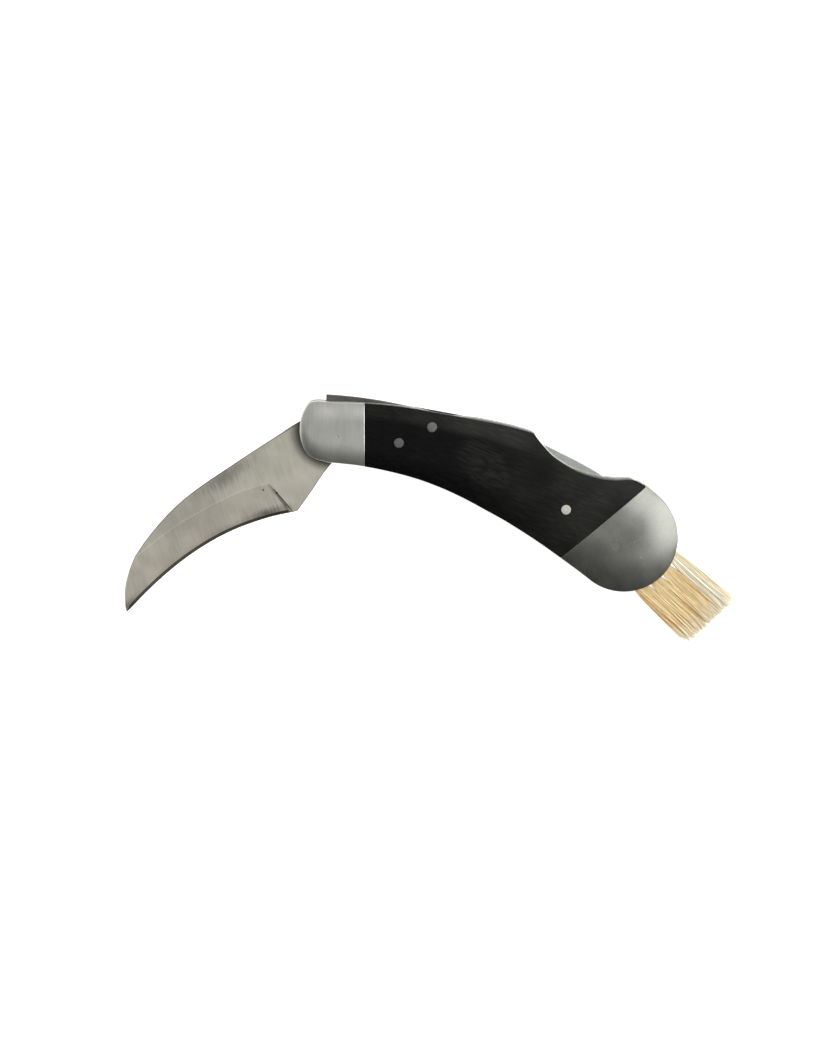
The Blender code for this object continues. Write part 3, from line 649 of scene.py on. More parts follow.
    def bar_outline(self):
        rocker = self.point(*ROCKER_SHARES)
        eye = self.sizes.pin_radius + RUNNING_GAP + BAR_EYE_WALL
        ride = TANG_RADIUS + RUNNING_GAP
        eye_front = ROCKER_SHARES[0] - BAR_EYE_SPAN_SHARE
        eye_rear = ROCKER_SHARES[0] + BAR_EYE_SPAN_SHARE
        tail = BAR_TOP_SHARES[-1][0]
        front = (FRONT_JOINT - NOSE_CENTRE.x) / self.sizes.arc_length
        first = BAR_TOP_SHARES[0][0]
        start = self.bar_point(first)
        top = [self.bar_point(s) for s in spread(first, tail, BAR_TOP_STEPS)]
        found = [Vector((-LUG_REACH, start.y)), *[p for p in top if p.x > -LUG_REACH]]
        found += [self.bar_point(s, self.bar_depth(s)) for s in spread(tail, eye_rear, BAR_STEPS)]
        found += [rocker + polar(eye, -angle) for angle in spread(*BAR_EYE_ARC, BAR_STEPS)]
        found += [self.bar_point(s, BAR_DEPTH) for s in spread(eye_front, front, BAR_STEPS)]
        found.append(Vector((LUG_LENGTH - LUG_REACH, ride)))
        found.append(Vector((-LUG_REACH, ride)))
        return found[::-1]

    def spring_line(self):
        """The leaf's middle line, from inside the butt filler to under the bar's tail."""
        sunk = SPRING_THICKNESS / 2 + RUNNING_GAP
        contact = self.bar_point(SPRING_TIP_SHARE, self.bar_depth(SPRING_TIP_SHARE) + sunk)
        root = self.point(*SPRING_ROOT_SHARES)
        way = (contact - root).normalized()
        bow = SPRING_BEND * Vector((way.y, -way.x))
        line = [root - SPRING_ROOT * way, root]
        line += [lerp(root, contact, s) - 4 * s * (1 - s) * bow for s in SPRING_RUN_SHARES]
        return [*line, contact, contact + SPRING_TIP_RUN * turned(way, SPRING_CURL)]

    # Butt

    def filler_outline(self):
        """The handle's outline round the butt, drawn in a little."""
        shares = [s for s in spread(0, 1, SIDE_STEPS) if s > FILLER_START_SHARE]
        belly = [self.point(s, -1, FILLER_INSET) for s in shares]
        back = [self.point(s, 1, -FILLER_INSET) for s in reversed(shares)]
        turns = spread(-math.pi / 2, math.pi / 2, BUTT_STEPS)[1:-1]
        radius = self.sizes.butt_radius - FILLER_INSET
        rim = [self.centre(1) + polar(radius, self.heading(1) + turn) for turn in turns]
        return belly + rim + back

    def cutout_outline(self):
        end = self.cutout_end()
        runs = spread(0, 1, CUTOUT_STEPS)
        shares = [lerp(CUTOUT_START_SHARE, end, run) for run in runs]
        reaches = [smooth_value(CUTOUT_SHARES, run) for run in runs]
        rim = [self.point(s, min(reach, 1)) for s, reach in zip(shares, reaches)]
        return [*rim, self.point(end, 1, CUTOUT_RISE), self.point(shares[0], 1, CUTOUT_RISE)]

    def tuft_places(self):
        """Each tuft's offset across the brush and how far out its root face lies."""
        places = []
        for k in range(TUFT_COUNT):
            across = BRUSH_OFFSET + ((TUFT_COUNT - 1) / 2 - k) * TUFT_PITCH
            side = abs(across) + TUFT_WIDTH / 2
            face = math.sqrt(self.sizes.butt_radius**2 - side**2) - TUFT_RECESS
            places.append((across, face))
        return places

    def holder_outline(self, grow=0):
        """The plate that the tufts are set in."""
        rim = self.sizes.butt_radius - FILLER_INSET + grow
        tufts = self.tuft_places()
        margin = TUFT_WIDTH / 2 + HOLDER_MARGIN + grow
        high, low = tufts[0][0] + margin, tufts[-1][0] - margin
        back = min(face for across, face in tufts) - TUFT_ROOT - HOLDER_WALL - grow
        angles = spread(math.asin(low / rim), math.asin(high / rim), BUTT_STEPS)
        arc = [self.butt_point(*polar(rim, angle)) for angle in angles]
        return [self.butt_point(back, high), self.butt_point(back, low), *arc]

    def notch_outline(self, across, face):
        """The notch that a tuft's root sits in, open at the rim."""
        back = face - TUFT_ROOT - FIT_GAP
        front = self.sizes.butt_radius + CUT_OVERRUN
        half = TUFT_WIDTH / 2 + FIT_GAP
        corners = ((back, -half), (front, -half), (front, half), (back, half))
        return [self.butt_point(along, across + side) for along, side in corners]


# Mesh work


def start_ring(bm, places):
    """A closed ring of vertices at the given places."""
    ring = bmesh.ops.create_circle(bm, segments=len(places), radius=1)["verts"]
    for vertex, place in zip(ring, places):
        vertex.co = place
    return ring


def grow(bm, chain, places, closed):
    """Extrudes a chain or ring of vertices and moves each new vertex to its place."""
    pairs = list(zip(chain, chain[1:]))
    if closed:
        pairs.append((chain[-1], chain[0]))
    edges = [bm.edges.get(pair) for pair in pairs]
    made = bmesh.ops.extrude_edge_only(bm, edges=edges)["geom"]
    fresh = {part for part in made if isinstance(part, bmesh.types.BMVert)}
    grown = []
    for vertex, place in zip(chain, places):
        others = (edge.other_vert(vertex) for edge in vertex.link_edges)
        upper = next(other for other in others if other in fresh)
        upper.co = place
        grown.append(upper)
    return grown


def cap(bm):
    """Closes every open loop with a face."""
    bmesh.ops.edgeloop_fill(bm, edges=[edge for edge in bm.edges if edge.is_boundary])


def round_edges(bm, edges, size, steps=2):
    """Rounds edges and returns the new faces."""
    return bmesh.ops.bevel(
        bm, geom=edges, offset=size, offset_type="OFFSET", segments=steps, profile=0.5,
        affect="EDGES", material=-1, clamp_overlap=False,
    )["faces"]


def sharp_edges(bm, angle=SHARP_ANGLE):
    return [edge for edge in bm.edges if edge.is_manifold and edge.calc_face_angle() > angle]


def plate_mesh(outline, low, high, rounding=0):
    """A flat plate between two heights over the middle plane, with its rims rounded."""
    bm = bmesh.new()
    ring = start_ring(bm, [(*point, low) for point in outline])
    grow(bm, ring, [(*point, high) for point in outline], True)
    cap(bm)
    if rounding:
        rims = [edge for edge in sharp_edges(bm) if edge.verts[0].co.z == edge.verts[1].co.z]
        round_edges(bm, rims, rounding)
    return bm


def rod_mesh(radius, low, high, place=(0, 0), end_radius=None, steps=ROUND_STEPS):
    """A round bar between two heights over the middle plane."""
    bm = bmesh.new()
    bmesh.ops.create_cone(
        bm, cap_ends=True, segments=steps, radius1=radius if end_radius is None else end_radius,
        radius2=radius, depth=high - low,
        matrix=Matrix.Translation((*place[:2], (low + high) / 2)),
    )
    return bm


def spun_mesh(profile, place=(0, 0)):
    """A profile of radii and heights, spun once round its axis."""
    bm = bmesh.new()
    corners = [bm.verts.new((radius, 0, height)) for radius, height in profile]
    edges = [bm.edges.new(pair) for pair in zip(corners, corners[1:])]
    bmesh.ops.spin(
        bm, geom=[*corners, *edges], axis=(0, 0, 1), cent=(0, 0, 0), angle=math.tau,
        steps=ROUND_STEPS, use_merge=True,
    )
    bmesh.ops.remove_doubles(bm, verts=bm.verts, dist=MERGE_DISTANCE)
    bmesh.ops.translate(bm, verts=bm.verts, vec=(*place[:2], 0))
    return bm


def linked_object(name, data):
    made = bpy.data.objects.new(name, data)
    bpy.context.scene.collection.objects.link(made)
    return made


def mesh_object(bm, name):
    mesh = bpy.data.meshes.new(name)
    bm.to_mesh(mesh)
    bm.free()
    return linked_object(name, mesh)


def object_from(bm, name):
    """Merges a bmesh's doubles, turns its faces out and makes an object of it."""
    bmesh.ops.remove_doubles(bm, verts=bm.verts, dist=MERGE_DISTANCE)
    bmesh.ops.recalc_face_normals(bm, faces=bm.faces)
    return mesh_object(bm, name)


def cut_away(piece, cutters):
    """Takes the cutters' shapes out of a piece."""
    tools = [object_from(bm, f"cutter_{k}") for k, bm in enumerate(cutters)]
    for tool in tools:
        change = piece.modifiers.new(tool.name, "BOOLEAN")
        change.operation = "DIFFERENCE"
        change.solver = "EXACT"
        change.object = tool
    graph = bpy.context.evaluated_depsgraph_get()
    mesh = bpy.data.meshes.new_from_object(piece.evaluated_get(graph))
    piece.modifiers.clear()
    uncut, piece.data = piece.data, mesh
    bpy.data.meshes.remove(uncut)
    for tool in tools:
        bpy.data.meshes.remove(tool.data)


def add_piece(name, bm, body, nodes, material, cutters=(), change=None):
    """Makes a piece: cut, changed, shaded, lifted to the middle plane and hung on its body."""
    piece = object_from(bm, name)
    if cutters:
        cut_away(piece, cutters)
    if change:
        piece.data.transform(change)
    if change and change.is_negative:
        piece.data.flip_normals()
    bm = bmesh.new()
    bm.from_mesh(piece.data)
    bmesh.ops.translate(bm, verts=bm.verts, vec=(0, 0, MIDDLE))
    for face in bm.faces:
        face.smooth = True
    for edge in bm.edges:
        turn = edge.calc_face_angle(0)
        rise = max(abs(face.normal.z) for face in edge.link_faces)
        flat = rise > LEVEL_NORMAL or any(f.calc_area() > FLAT_AREA for f in edge.link_faces)
        joint = rise > UPPER_NORMAL and turn > JOINT_TURN
        edge.smooth = not (turn > SHARP_ANGLE or (flat and turn > FLAT_TURN) or joint)
    bm.to_mesh(piece.data)
    bm.free()
    piece.data.name = piece.name
    piece.data.materials.clear()
    piece.data.materials.append(material)
    if body:
        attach(piece, body)
    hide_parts(*nodes)
    return piece


# Materials

COLOUR_MIX = {"data_type": "RGBA", "out": 2}
SMOOTH_STEP = {"interpolation_type": "SMOOTHSTEP"}


def add_node(tree, kind, inputs=(), out=0, **settings):
    """Adds a shader node with its settings, values and links, and returns one of its outputs.

    The inputs are given in their order, or by their names or numbers.
    """
    node = tree.nodes.new("ShaderNode" + kind)
    for name, value in settings.items():
        setattr(node, name, value)
    for name, value in inputs.items() if isinstance(inputs, dict) else enumerate(inputs):
        if isinstance(value, bpy.types.NodeSocket):
            tree.links.new(value, node.inputs[name])
        else:
            node.inputs[name].default_value = value
    return node.outputs[out] if node.outputs else None


def kept_finish(name):
    """Has a finish made once, under its name, and found by that name from then on."""

    def kept(make):
        @functools.wraps(make)
        def finish(colours):
            return bpy.data.materials.get(name) or make(name, colours)

        return finish

    return kept


def new_finish(name, **numbers):
    """A material with its shader's plain numbers set, and its node tree."""
    made = bpy.data.materials.new(name)
    made.use_nodes = True
    shader = made.node_tree.nodes["Principled BSDF"]
    for socket, value in numbers.items():
        shader.inputs[socket.replace("_", " ")].default_value = value
    return made, made.node_tree


def link_shader(tree, **outputs):
    """Links nodes' outputs to the shader."""
    for socket, output in outputs.items():
        tree.links.new(output, tree.nodes["Principled BSDF"].inputs[socket.replace("_", " ")])


def streaked(tree, place, turn, scale):
    """A place turned in plan and then scaled, so that a pattern runs in that direction."""
    turned_place = add_node(tree, "Mapping", {"Vector": place, "Rotation": (0, 0, turn)})
    return add_node(tree, "Mapping", {"Vector": turned_place, "Scale": scale})


def off_centre(tree, place, centre, angle, half):
    """How far a place lies from an ellipse's centre, as a share of the way to its rim."""
    sizes = {"Location": centre, "Rotation": (0, 0, angle), "Scale": half}
    shifted = add_node(tree, "Mapping", {"Vector": place, **sizes}, vector_type="TEXTURE")
    return add_node(tree, "VectorMath", (shifted,), out="Value", operation="LENGTH")


def off_spot(tree, place, spot):
    """How far a place lies from a spot in plan on the blade's upper face."""
    on_face = (*spot, MIDDLE + thickness_of("blade") / 2)
    return add_node(tree, "VectorMath", (place, on_face), out="Value", operation="DISTANCE")


def ground_metal(name, bright, dull, turn, mark, run, roughness, relief):
    """Metal ground in one direction: streaks in its colour, roughness and surface."""
    made, tree = new_finish(name, Metallic=1.0)
    place = add_node(tree, "TexCoord", out="Object")
    streaks = streaked(tree, place, turn, (1 / mark, 1 / run, 1 / run))
    fine = add_node(tree, "TexNoise", {"Vector": streaks, "Scale": 1.0, "Detail": 3.0})
    broad = add_node(tree, "TexNoise", {"Vector": place, "Scale": 160.0, "Detail": 2.0})
    shade = add_node(tree, "Mix", {0: 0.5, 2: fine, 3: broad}, data_type="FLOAT")
    wear = add_node(tree, "MapRange", (shade, 0.32, 0.66, 1.0, 0.0))
    colour = add_node(tree, "Mix", {0: wear, 6: bright, 7: dull}, **COLOUR_MIX)
    rough = add_node(tree, "MapRange", (shade, 0.3, 0.7, roughness - 0.05, roughness + 0.05))
    bump = add_node(tree, "Bump", {"Height": fine, "Strength": relief, "Distance": 0.00002})
    link_shader(tree, Base_Color=colour, Roughness=rough, Normal=bump)
    return made


def multiply_colour(made, factor):
    """Multiplies a finish's colour by a colour or a number from its node tree."""
    tree = made.node_tree
    base = tree.nodes["Principled BSDF"].inputs["Base Color"]
    plain = base.links[0].from_socket
    tinted = add_node(
        tree, "Mix", {0: 1.0, 6: plain, 7: factor}, **COLOUR_MIX, blend_type="MULTIPLY"
    )
    tree.links.new(tinted, base)


@kept_finish("satin_ground_stainless_steel")
def bolster_steel(name, colours):
    """Stainless steel ground on a fine belt, then satined.

    The marks run across the knife and are faint. Real ones are some 0.05 mm wide, finer
    than a pixel, so they are drawn 0.22 mm wide.
    """
    return ground_metal(
        name, colours.bolster, colours.bolster_dull, turn=math.radians(4),
        mark=0.00022, run=0.0060, roughness=0.34, relief=0.10,
    )


@kept_finish("bead_blasted_stainless_steel")
def butt_steel(name, colours):
    """Stainless steel blasted with fine beads and rubbed over.

    It is duller than the ground bolster, its colour darker as painted shade, and it has no
    direction, only soft specks and a few bright scratches. Real specks are some 0.1 mm across,
    and they are drawn 0.35 mm across.
    """
    made = ground_metal(
        name, colours.butt, colours.butt_dull, turn=0,
        mark=0.00035, run=0.00035, roughness=0.36, relief=0.08,
    )
    tree = made.node_tree
    place = add_node(tree, "TexCoord", out="Object")
    for centre, angle, half in SCRATCHES:
        away = off_centre(tree, place, centre, angle, (*half, SCRATCH_DEPTH))
        scratch = add_node(tree, "MapRange", (away, 0.5, 1.1, 1.7, 1.0))
        multiply_colour(made, scratch)
    return made


@kept_finish("cross_ground_blade_steel")
def hawkbill_steel(name, colours):
    """Stainless blade steel, its bevels and flats ground across the blade.

    It shows long fine marks and a warm, soft reflection. The marks are some 0.05 mm wide and
    are drawn 0.28 mm wide. A painted highlight brightens the bevel's top ridge, painted dark
    reflection darkens the sharpened edge and the plunge groove, the spine's walls are darker,
    painted shade darkens a ring round the bolster's nose, and soft painted dark reflections and
    shade lie by the spine, the heel and the tip.
    """
    made = ground_metal(
        name, colours.blade, colours.blade_dull, turn=BLADE_GRIND_ANGLE,
        mark=0.00028, run=0.0090, roughness=0.37, relief=0.15,
    )
    tree = made.node_tree
    # Tints by face finish: a painted highlight on the ridge, painted dark reflection on the
    # sharpened edge and in the plunge groove, darker walls
    finish = add_node(tree, "Attribute", out="Fac", attribute_name="blade_finish")
    place_on_ramp = add_node(tree, "Math", (finish, 1 / FINISH_STEPS), operation="MULTIPLY")
    tints = add_node(tree, "ValToRGB", (place_on_ramp,))
    ramp = tints.node.color_ramp
    ramp.interpolation = "CONSTANT"
    ramp.elements.remove(ramp.elements[1])
    ramp.elements[0].color = (1, 1, 1, 1)
    for value, tint in FINISH_TINTS.items():
        ramp.elements.new((value - 0.5) / FINISH_STEPS).color = (*tint, 1)
    multiply_colour(made, tints)
    place = add_node(tree, "TexCoord", out="Object")
    hatched = streaked(
        tree, place, BLADE_GRIND_ANGLE, (1 / HATCH_MARK, 1 / HATCH_RUN, 1 / HATCH_RUN)
    )
    hatch = add_node(tree, "TexNoise", {"Vector": hatched, "Scale": 1.0, "Detail": 2.0})
    # Painted dark reflections and shade by the spine, the heel and the tip, broken up by hatching
    for centre, angle, half, level in PAINTED_DARK_REFLECTIONS:
        away = off_centre(tree, place, (*centre, MIDDLE), angle, (*half, 1))
        ragged = add_node(tree, "Math", (hatch, 0.9, away), operation="MULTIPLY_ADD")
        painted_darkening = add_node(tree, "MapRange", (ragged, 0.45, 1.5, level, 1.0), **SMOOTH_STEP)
        multiply_colour(made, painted_darkening)
    # Painted shade in a ring round the bolster's nose, where the bolster shades the blade
    off_nose = off_spot(tree, place, NOSE_CENTRE)
    levels = (*PAINTED_NOSE_SHADE_RING, PAINTED_NOSE_SHADE_LEVEL, 1.0)
    ring = add_node(tree, "MapRange", (off_nose, *levels), **SMOOTH_STEP)
    multiply_colour(made, ring)
    for pit, size, level in PITS:
        away = off_spot(tree, place, pit)
        dark = add_node(tree, "MapRange", (away, 0.5 * size, 1.2 * size, level, 1.0))
        multiply_colour(made, dark)
    return made


@kept_finish("dark_satin_spring_steel")
def bar_steel(name, colours):
    """Hardened spring steel, ground along the bar.

    Painted shade makes it darker than the bolsters towards its front, where its edge is reddish,
    and a painted highlight brightens it towards its back, most along its edges.
    """
    made = ground_metal(
        name, colours.spring, colours.spring_dull, turn=math.radians(90),
        mark=0.00018, run=0.0040, roughness=0.36, relief=0.10,
    )
    tree = made.node_tree
    coordinates = add_node(tree, "TexCoord").node.outputs
    along = add_node(tree, "SeparateXYZ", (coordinates["Object"],), out="X")
    # Painted shade at the front gives way to painted highlight towards the back
    painted_light_share = add_node(tree, "MapRange", (along, 0.008, 0.055))
    facing = add_node(tree, "SeparateXYZ", (coordinates["Normal"],), out="Z")
    side = add_node(tree, "Math", (facing,), operation="ABSOLUTE")
    wall = add_node(tree, "MapRange", (side, 0.4, 0.92, 1.0, 0.0))
    front, back = (
        add_node(tree, "Mix", {0: wall, 6: face, 7: edge}, **COLOUR_MIX)
        for face, edge in BAR_PAINTED_LIGHT_TINTS
    )
    tint = add_node(tree, "Mix", {0: painted_light_share, 6: front, 7: back}, **COLOUR_MIX)
    multiply_colour(made, tint)
    return made


@kept_finish("polished_stainless_pin")
def pin_steel(name, colours):
    """Stainless pin stock, polished flush: a few fine scratches and a bright reflection."""
    return ground_metal(
        name, colours.bright, colours.bright_dull, turn=math.radians(35),
        mark=0.00015, run=0.0020, roughness=0.22, relief=0.06,
    )


@kept_finish("filed_stainless_rivet")
def rivet_steel(name, colours):
    """Stainless rivet wire, peened over and filed flush: greyer and softer than the pin."""
    return ground_metal(
        name, colours.rivet, colours.rivet_dull, turn=math.radians(60),
        mark=0.00030, run=0.0012, roughness=0.32, relief=0.08,
    )


@kept_finish("rolled_phosphor_bronze")
def washer_bronze(name, colours):
    """Rolled phosphor bronze sheet, rubbed dull where it turns: a soft brown gold."""
    return ground_metal(
        name, colours.bronze, colours.bronze_dull, turn=0,
        mark=0.00020, run=0.0010, roughness=0.38, relief=0.08,
    )


@kept_finish("black_pressed_pakkawood")
def black_wood(name, colours):
    """Pakkawood: thin dyed veneers pressed in resin, sanded and buffed.

    It is close to black, with faint fine grain along the handle and a soft satin gloss.
    Where it falls to the back and towards the butt a paler painted sheen is laid on, broken up
    by the grain, and a figured patch of paler grain lies in the middle. Grain lines of pressed
    veneer are some 0.3 mm apart.
    """
    made, tree = new_finish(name, Specular_IOR_Level=0.08)
    coordinates = add_node(tree, "TexCoord").node.outputs
    place = coordinates["Object"]
    along = streaked(tree, place, GRAIN_ANGLE, GRAIN_SCALE)
    knot = add_node(tree, "TexNoise", {"Vector": place, "Scale": 90.0, "Detail": 1.0}).node
    wander = (knot.outputs["Color"], (3.0, 3.0, 3.0), along)
    bent = add_node(tree, "VectorMath", wander, operation="MULTIPLY_ADD")
    grain = add_node(tree, "TexNoise", {"Vector": bent, "Scale": 1.0, "Detail": 4.0})
    lines = add_node(tree, "MapRange", (grain, 0.48, 0.80))
    figured = add_node(
        tree, "Mix", {0: lines, 6: colours.wood, 7: colours.wood_grain}, **COLOUR_MIX
    )
    normal = add_node(tree, "SeparateXYZ", (coordinates["Normal"],)).node.outputs
    axes = add_node(tree, "SeparateXYZ", (place,)).node.outputs
    # Painted sheen where the crown falls to the back, stronger towards the rear, and towards the
    # butt, broken up by grain and clouds
    brow = add_node(tree, "MapRange", (normal["Y"], 0.05, 0.22), **SMOOTH_STEP)
    rear_half = add_node(tree, "MapRange", (axes["X"], 0.018, 0.040, 0.45))
    rear_brow = add_node(tree, "Math", (brow, rear_half), operation="MULTIPLY")
    butt_end = add_node(tree, "MapRange", (axes["X"], 0.030, 0.080, 0.0, 0.8), **SMOOTH_STEP)
    sheen_reach = add_node(tree, "Math", (rear_brow, butt_end), operation="MAXIMUM")
    cloud = add_node(tree, "MapRange", (knot.outputs["Fac"], 0.3, 0.65, 0.45))
    strokes = add_node(tree, "Math", (lines, 0.7, 0.7), operation="MULTIPLY_ADD")
    patchy = add_node(tree, "Math", (strokes, cloud), operation="MULTIPLY")
    painted_light_share = add_node(tree, "Math", (sheen_reach, patchy), operation="MULTIPLY")
    away = off_centre(tree, place, (*FIGURE_CENTRE, MIDDLE), FIGURE_ANGLE, (*FIGURE_HALF, 1))
    inside = add_node(tree, "MapRange", (away, 0.6, 1.1, 1.0, 0.0), **SMOOTH_STEP)
    dashes = add_node(tree, "MapRange", (grain, 0.40, 0.70, 0.15, 0.60))
    figure = add_node(tree, "Math", (inside, dashes), operation="MULTIPLY")
    paler = add_node(tree, "Math", (painted_light_share, figure), operation="MAXIMUM")
    sheen_and_figure_colour = add_node(tree, "Mix", {0: paler, 6: figured, 7: colours.wood_sheen_and_figure}, **COLOUR_MIX)
    rough = add_node(tree, "MapRange", (grain, 0.3, 0.7, 0.40, 0.52))
    bump = add_node(tree, "Bump", {"Height": grain, "Strength": 0.15, "Distance": 0.00003})
    link_shader(tree, Base_Color=sheen_and_figure_colour, Roughness=rough, Normal=bump)
    return made


@kept_finish("natural_cut_bristle")
def straw_bristle(name, colours):
    """Natural bristle, washed and cut: straw to golden brown, paler and clearer at the tips."""
    made, tree = new_finish(name, Roughness=0.6, Specular_IOR_Level=0.3)
    shade = add_node(tree, "Attribute", out="Fac", attribute_name="strand_shade")
    along = add_node(tree, "Attribute", out="Fac", attribute_name="strand_run")
    place = add_node(tree, "TexCoord", out="Object")
    patch = add_node(tree, "TexNoise", {"Vector": place, "Scale": 700.0, "Detail": 2.0})
    dark = add_node(tree, "Mix", {0: 0.35, 2: shade, 3: patch}, data_type="FLOAT")
    streak = add_node(tree, "MapRange", (dark, 0.50, 0.82))
    hairs = {0: streak, 6: colours.bristle, 7: colours.bristle_dark}
    body = add_node(tree, "Mix", hairs, **COLOUR_MIX)
    tip = add_node(tree, "MapRange", (along, 0.72, 1.0, 0.0, 0.6))
    faded = add_node(tree, "MapRange", (shade, -0.5, 0.1, 1.0, 0.0))
    pale = add_node(tree, "Math", (tip, faded), operation="MAXIMUM")
    colour = add_node(tree, "Mix", {0: pale, 6: body, 7: colours.bristle_tip}, **COLOUR_MIX)
    link_shader(tree, Base_Color=colour)
    return made


# Pieces


SIDES = (("upper", "top", 1), ("lower", "bottom", -1))


def cover_mesh(plan, planes):
    """A closed stretch of one side's cover, cut at the given planes."""
    columns = plan.columns()
    bm = bmesh.new()

    def ring_places(ring_share):
        places = []
        for foot, rim, reach in columns:
            across = lerp(plan.crest_share(rim), reach, ring_share)
            height = plan.crest - plan.crown_fall(rim, across)
            places.append((*lerp(foot, rim, across), height))
        return places

    rim = ring_places(1)
    ring = start_ring(bm, [(x, y, plan.cover_base) for x, y, z in rim])
    for ring_share in spread(1, 0, CROWN_STEPS):
        ring = grow(bm, ring, ring_places(ring_share), True)
    cap(bm)
    bmesh.ops.recalc_face_normals(bm, faces=bm.faces)
    brow = [e for e in sharp_edges(bm) if min(v.co.z for v in e.verts) > plan.cover_base]
    round_edges(bm, brow, plan.sizes.edge_rounding, BROW_STEPS)
    for place, inward in planes:
        geometry = bm.verts[:] + bm.edges[:] + bm.faces[:]
        bmesh.ops.bisect_plane(
            bm, geom=geometry, dist=MERGE_DISTANCE, plane_co=(*place, 0), plane_no=(*inward, 0),
            clear_inner=True,
        )
        cap(bm)
    bmesh.ops.recalc_face_normals(bm, faces=bm.faces)
    round_edges(bm, sharp_edges(bm, CORNER_ANGLE), plan.sizes.joint_rounding)
    return bm


class KNIFE_OT_covers(bpy.types.Operator):
    """Builds the bolsters and the scales with their crowns, joints, cut-out and pin holes"""

    bl_idname = "foraging_knife.covers"
    bl_label = "Bolsters and scales"

    def execute(self, context):
        plan = Plan(context.scene.knife_sizes)
        colours = context.scene.knife_colours
        steel, butt, wood = bolster_steel(colours), butt_steel(colours), black_wood(colours)
        (front, front_way), (rear, rear_way) = plan.joints()
        gap = FIT_GAP / 2
        front_plane = (front - gap * front_way, -front_way)
        rear_plane = (rear + gap * rear_way, rear_way)
        scale_planes = [(front + gap * front_way, front_way), (rear - gap * rear_way, -rear_way)]
        scale_pins = (RIVET_SHARES, ROCKER_SHARES, REAR_PIN_SHARES)
        stretches = (
            ("front_bolster", "satin_steel", steel, [front_plane], (), 0),
            ("scale", "black_pakkawood", wood, scale_planes, scale_pins, RUNNING_GAP),
            ("rear_bolster", "satin_steel", butt, [rear_plane], (BUTT_PIN_SHARES,), FLUSH_GAP),
        )
        top = plan.crest + CUT_OVERRUN
        pivot_bore = plan.sizes.pivot_radius + RUNNING_GAP
        pivot_top = plan.cover_base + PIVOT_PIN_SINK + FIT_GAP
        punch = (PUNCH_RADIUS, plan.crest - PUNCH_DEPTH, plan.crest + FIT_GAP)
        for name, slot, material, planes, pins, room in stretches:
            bore = plan.sizes.pin_radius + room
            for side_name, node_side, side in SIDES:
                cutters = [rod_mesh(bore, 0, top, plan.point(*pin)) for pin in pins]
                if name == "front_bolster":
                    cutters.append(rod_mesh(pivot_bore, 0, pivot_top))
                    if side > 0:
                        cutters.append(rod_mesh(*punch, end_radius=0))
                mirror = None if side > 0 else Matrix.Scale(-1, 4, (0, 0, 1))
                mesh = cover_mesh(plan, planes)
                nodes = [f"{name}_{node_side}"]
                add_piece(
                    f"{name}_{side_name}", mesh, "handle", nodes, material, cutters, mirror
                )
        return {"FINISHED"}


class KNIFE_OT_liners(bpy.types.Operator):
    """Builds the two steel liners that the covers are pinned to"""

    bl_idname = "foraging_knife.liners"
    bl_label = "Liners"

    def execute(self, context):
        plan = Plan(context.scene.knife_sizes)
        low = plan.sizes.slot_width / 2
        high = low + plan.sizes.liner_thickness
        pins = [RIVET_SHARES, ROCKER_SHARES, REAR_PIN_SHARES, BUTT_PIN_SHARES]
        bore = plan.sizes.pin_radius + RUNNING_GAP
        pivot_bore = plan.sizes.pivot_radius + RUNNING_GAP
        steel = bolster_steel(context.scene.knife_colours)
        for side_name, node_side, side in SIDES:
            heights = sorted((side * low, side * high))
            mesh = plate_mesh(plan.liner_outline(), *heights, plan.sizes.plate_rounding)
            ends = (heights[0] - FIT_GAP, heights[1] + FIT_GAP)
            cutters = [rod_mesh(bore, *ends, plan.point(*pin)) for pin in pins]
            cutters.append(rod_mesh(pivot_bore, *ends))
            name, nodes = f"steel_liner_{side_name}", [f"liner_{node_side}"]
            add_piece(name, mesh, "handle", nodes, steel, cutters)
        return {"FINISHED"}


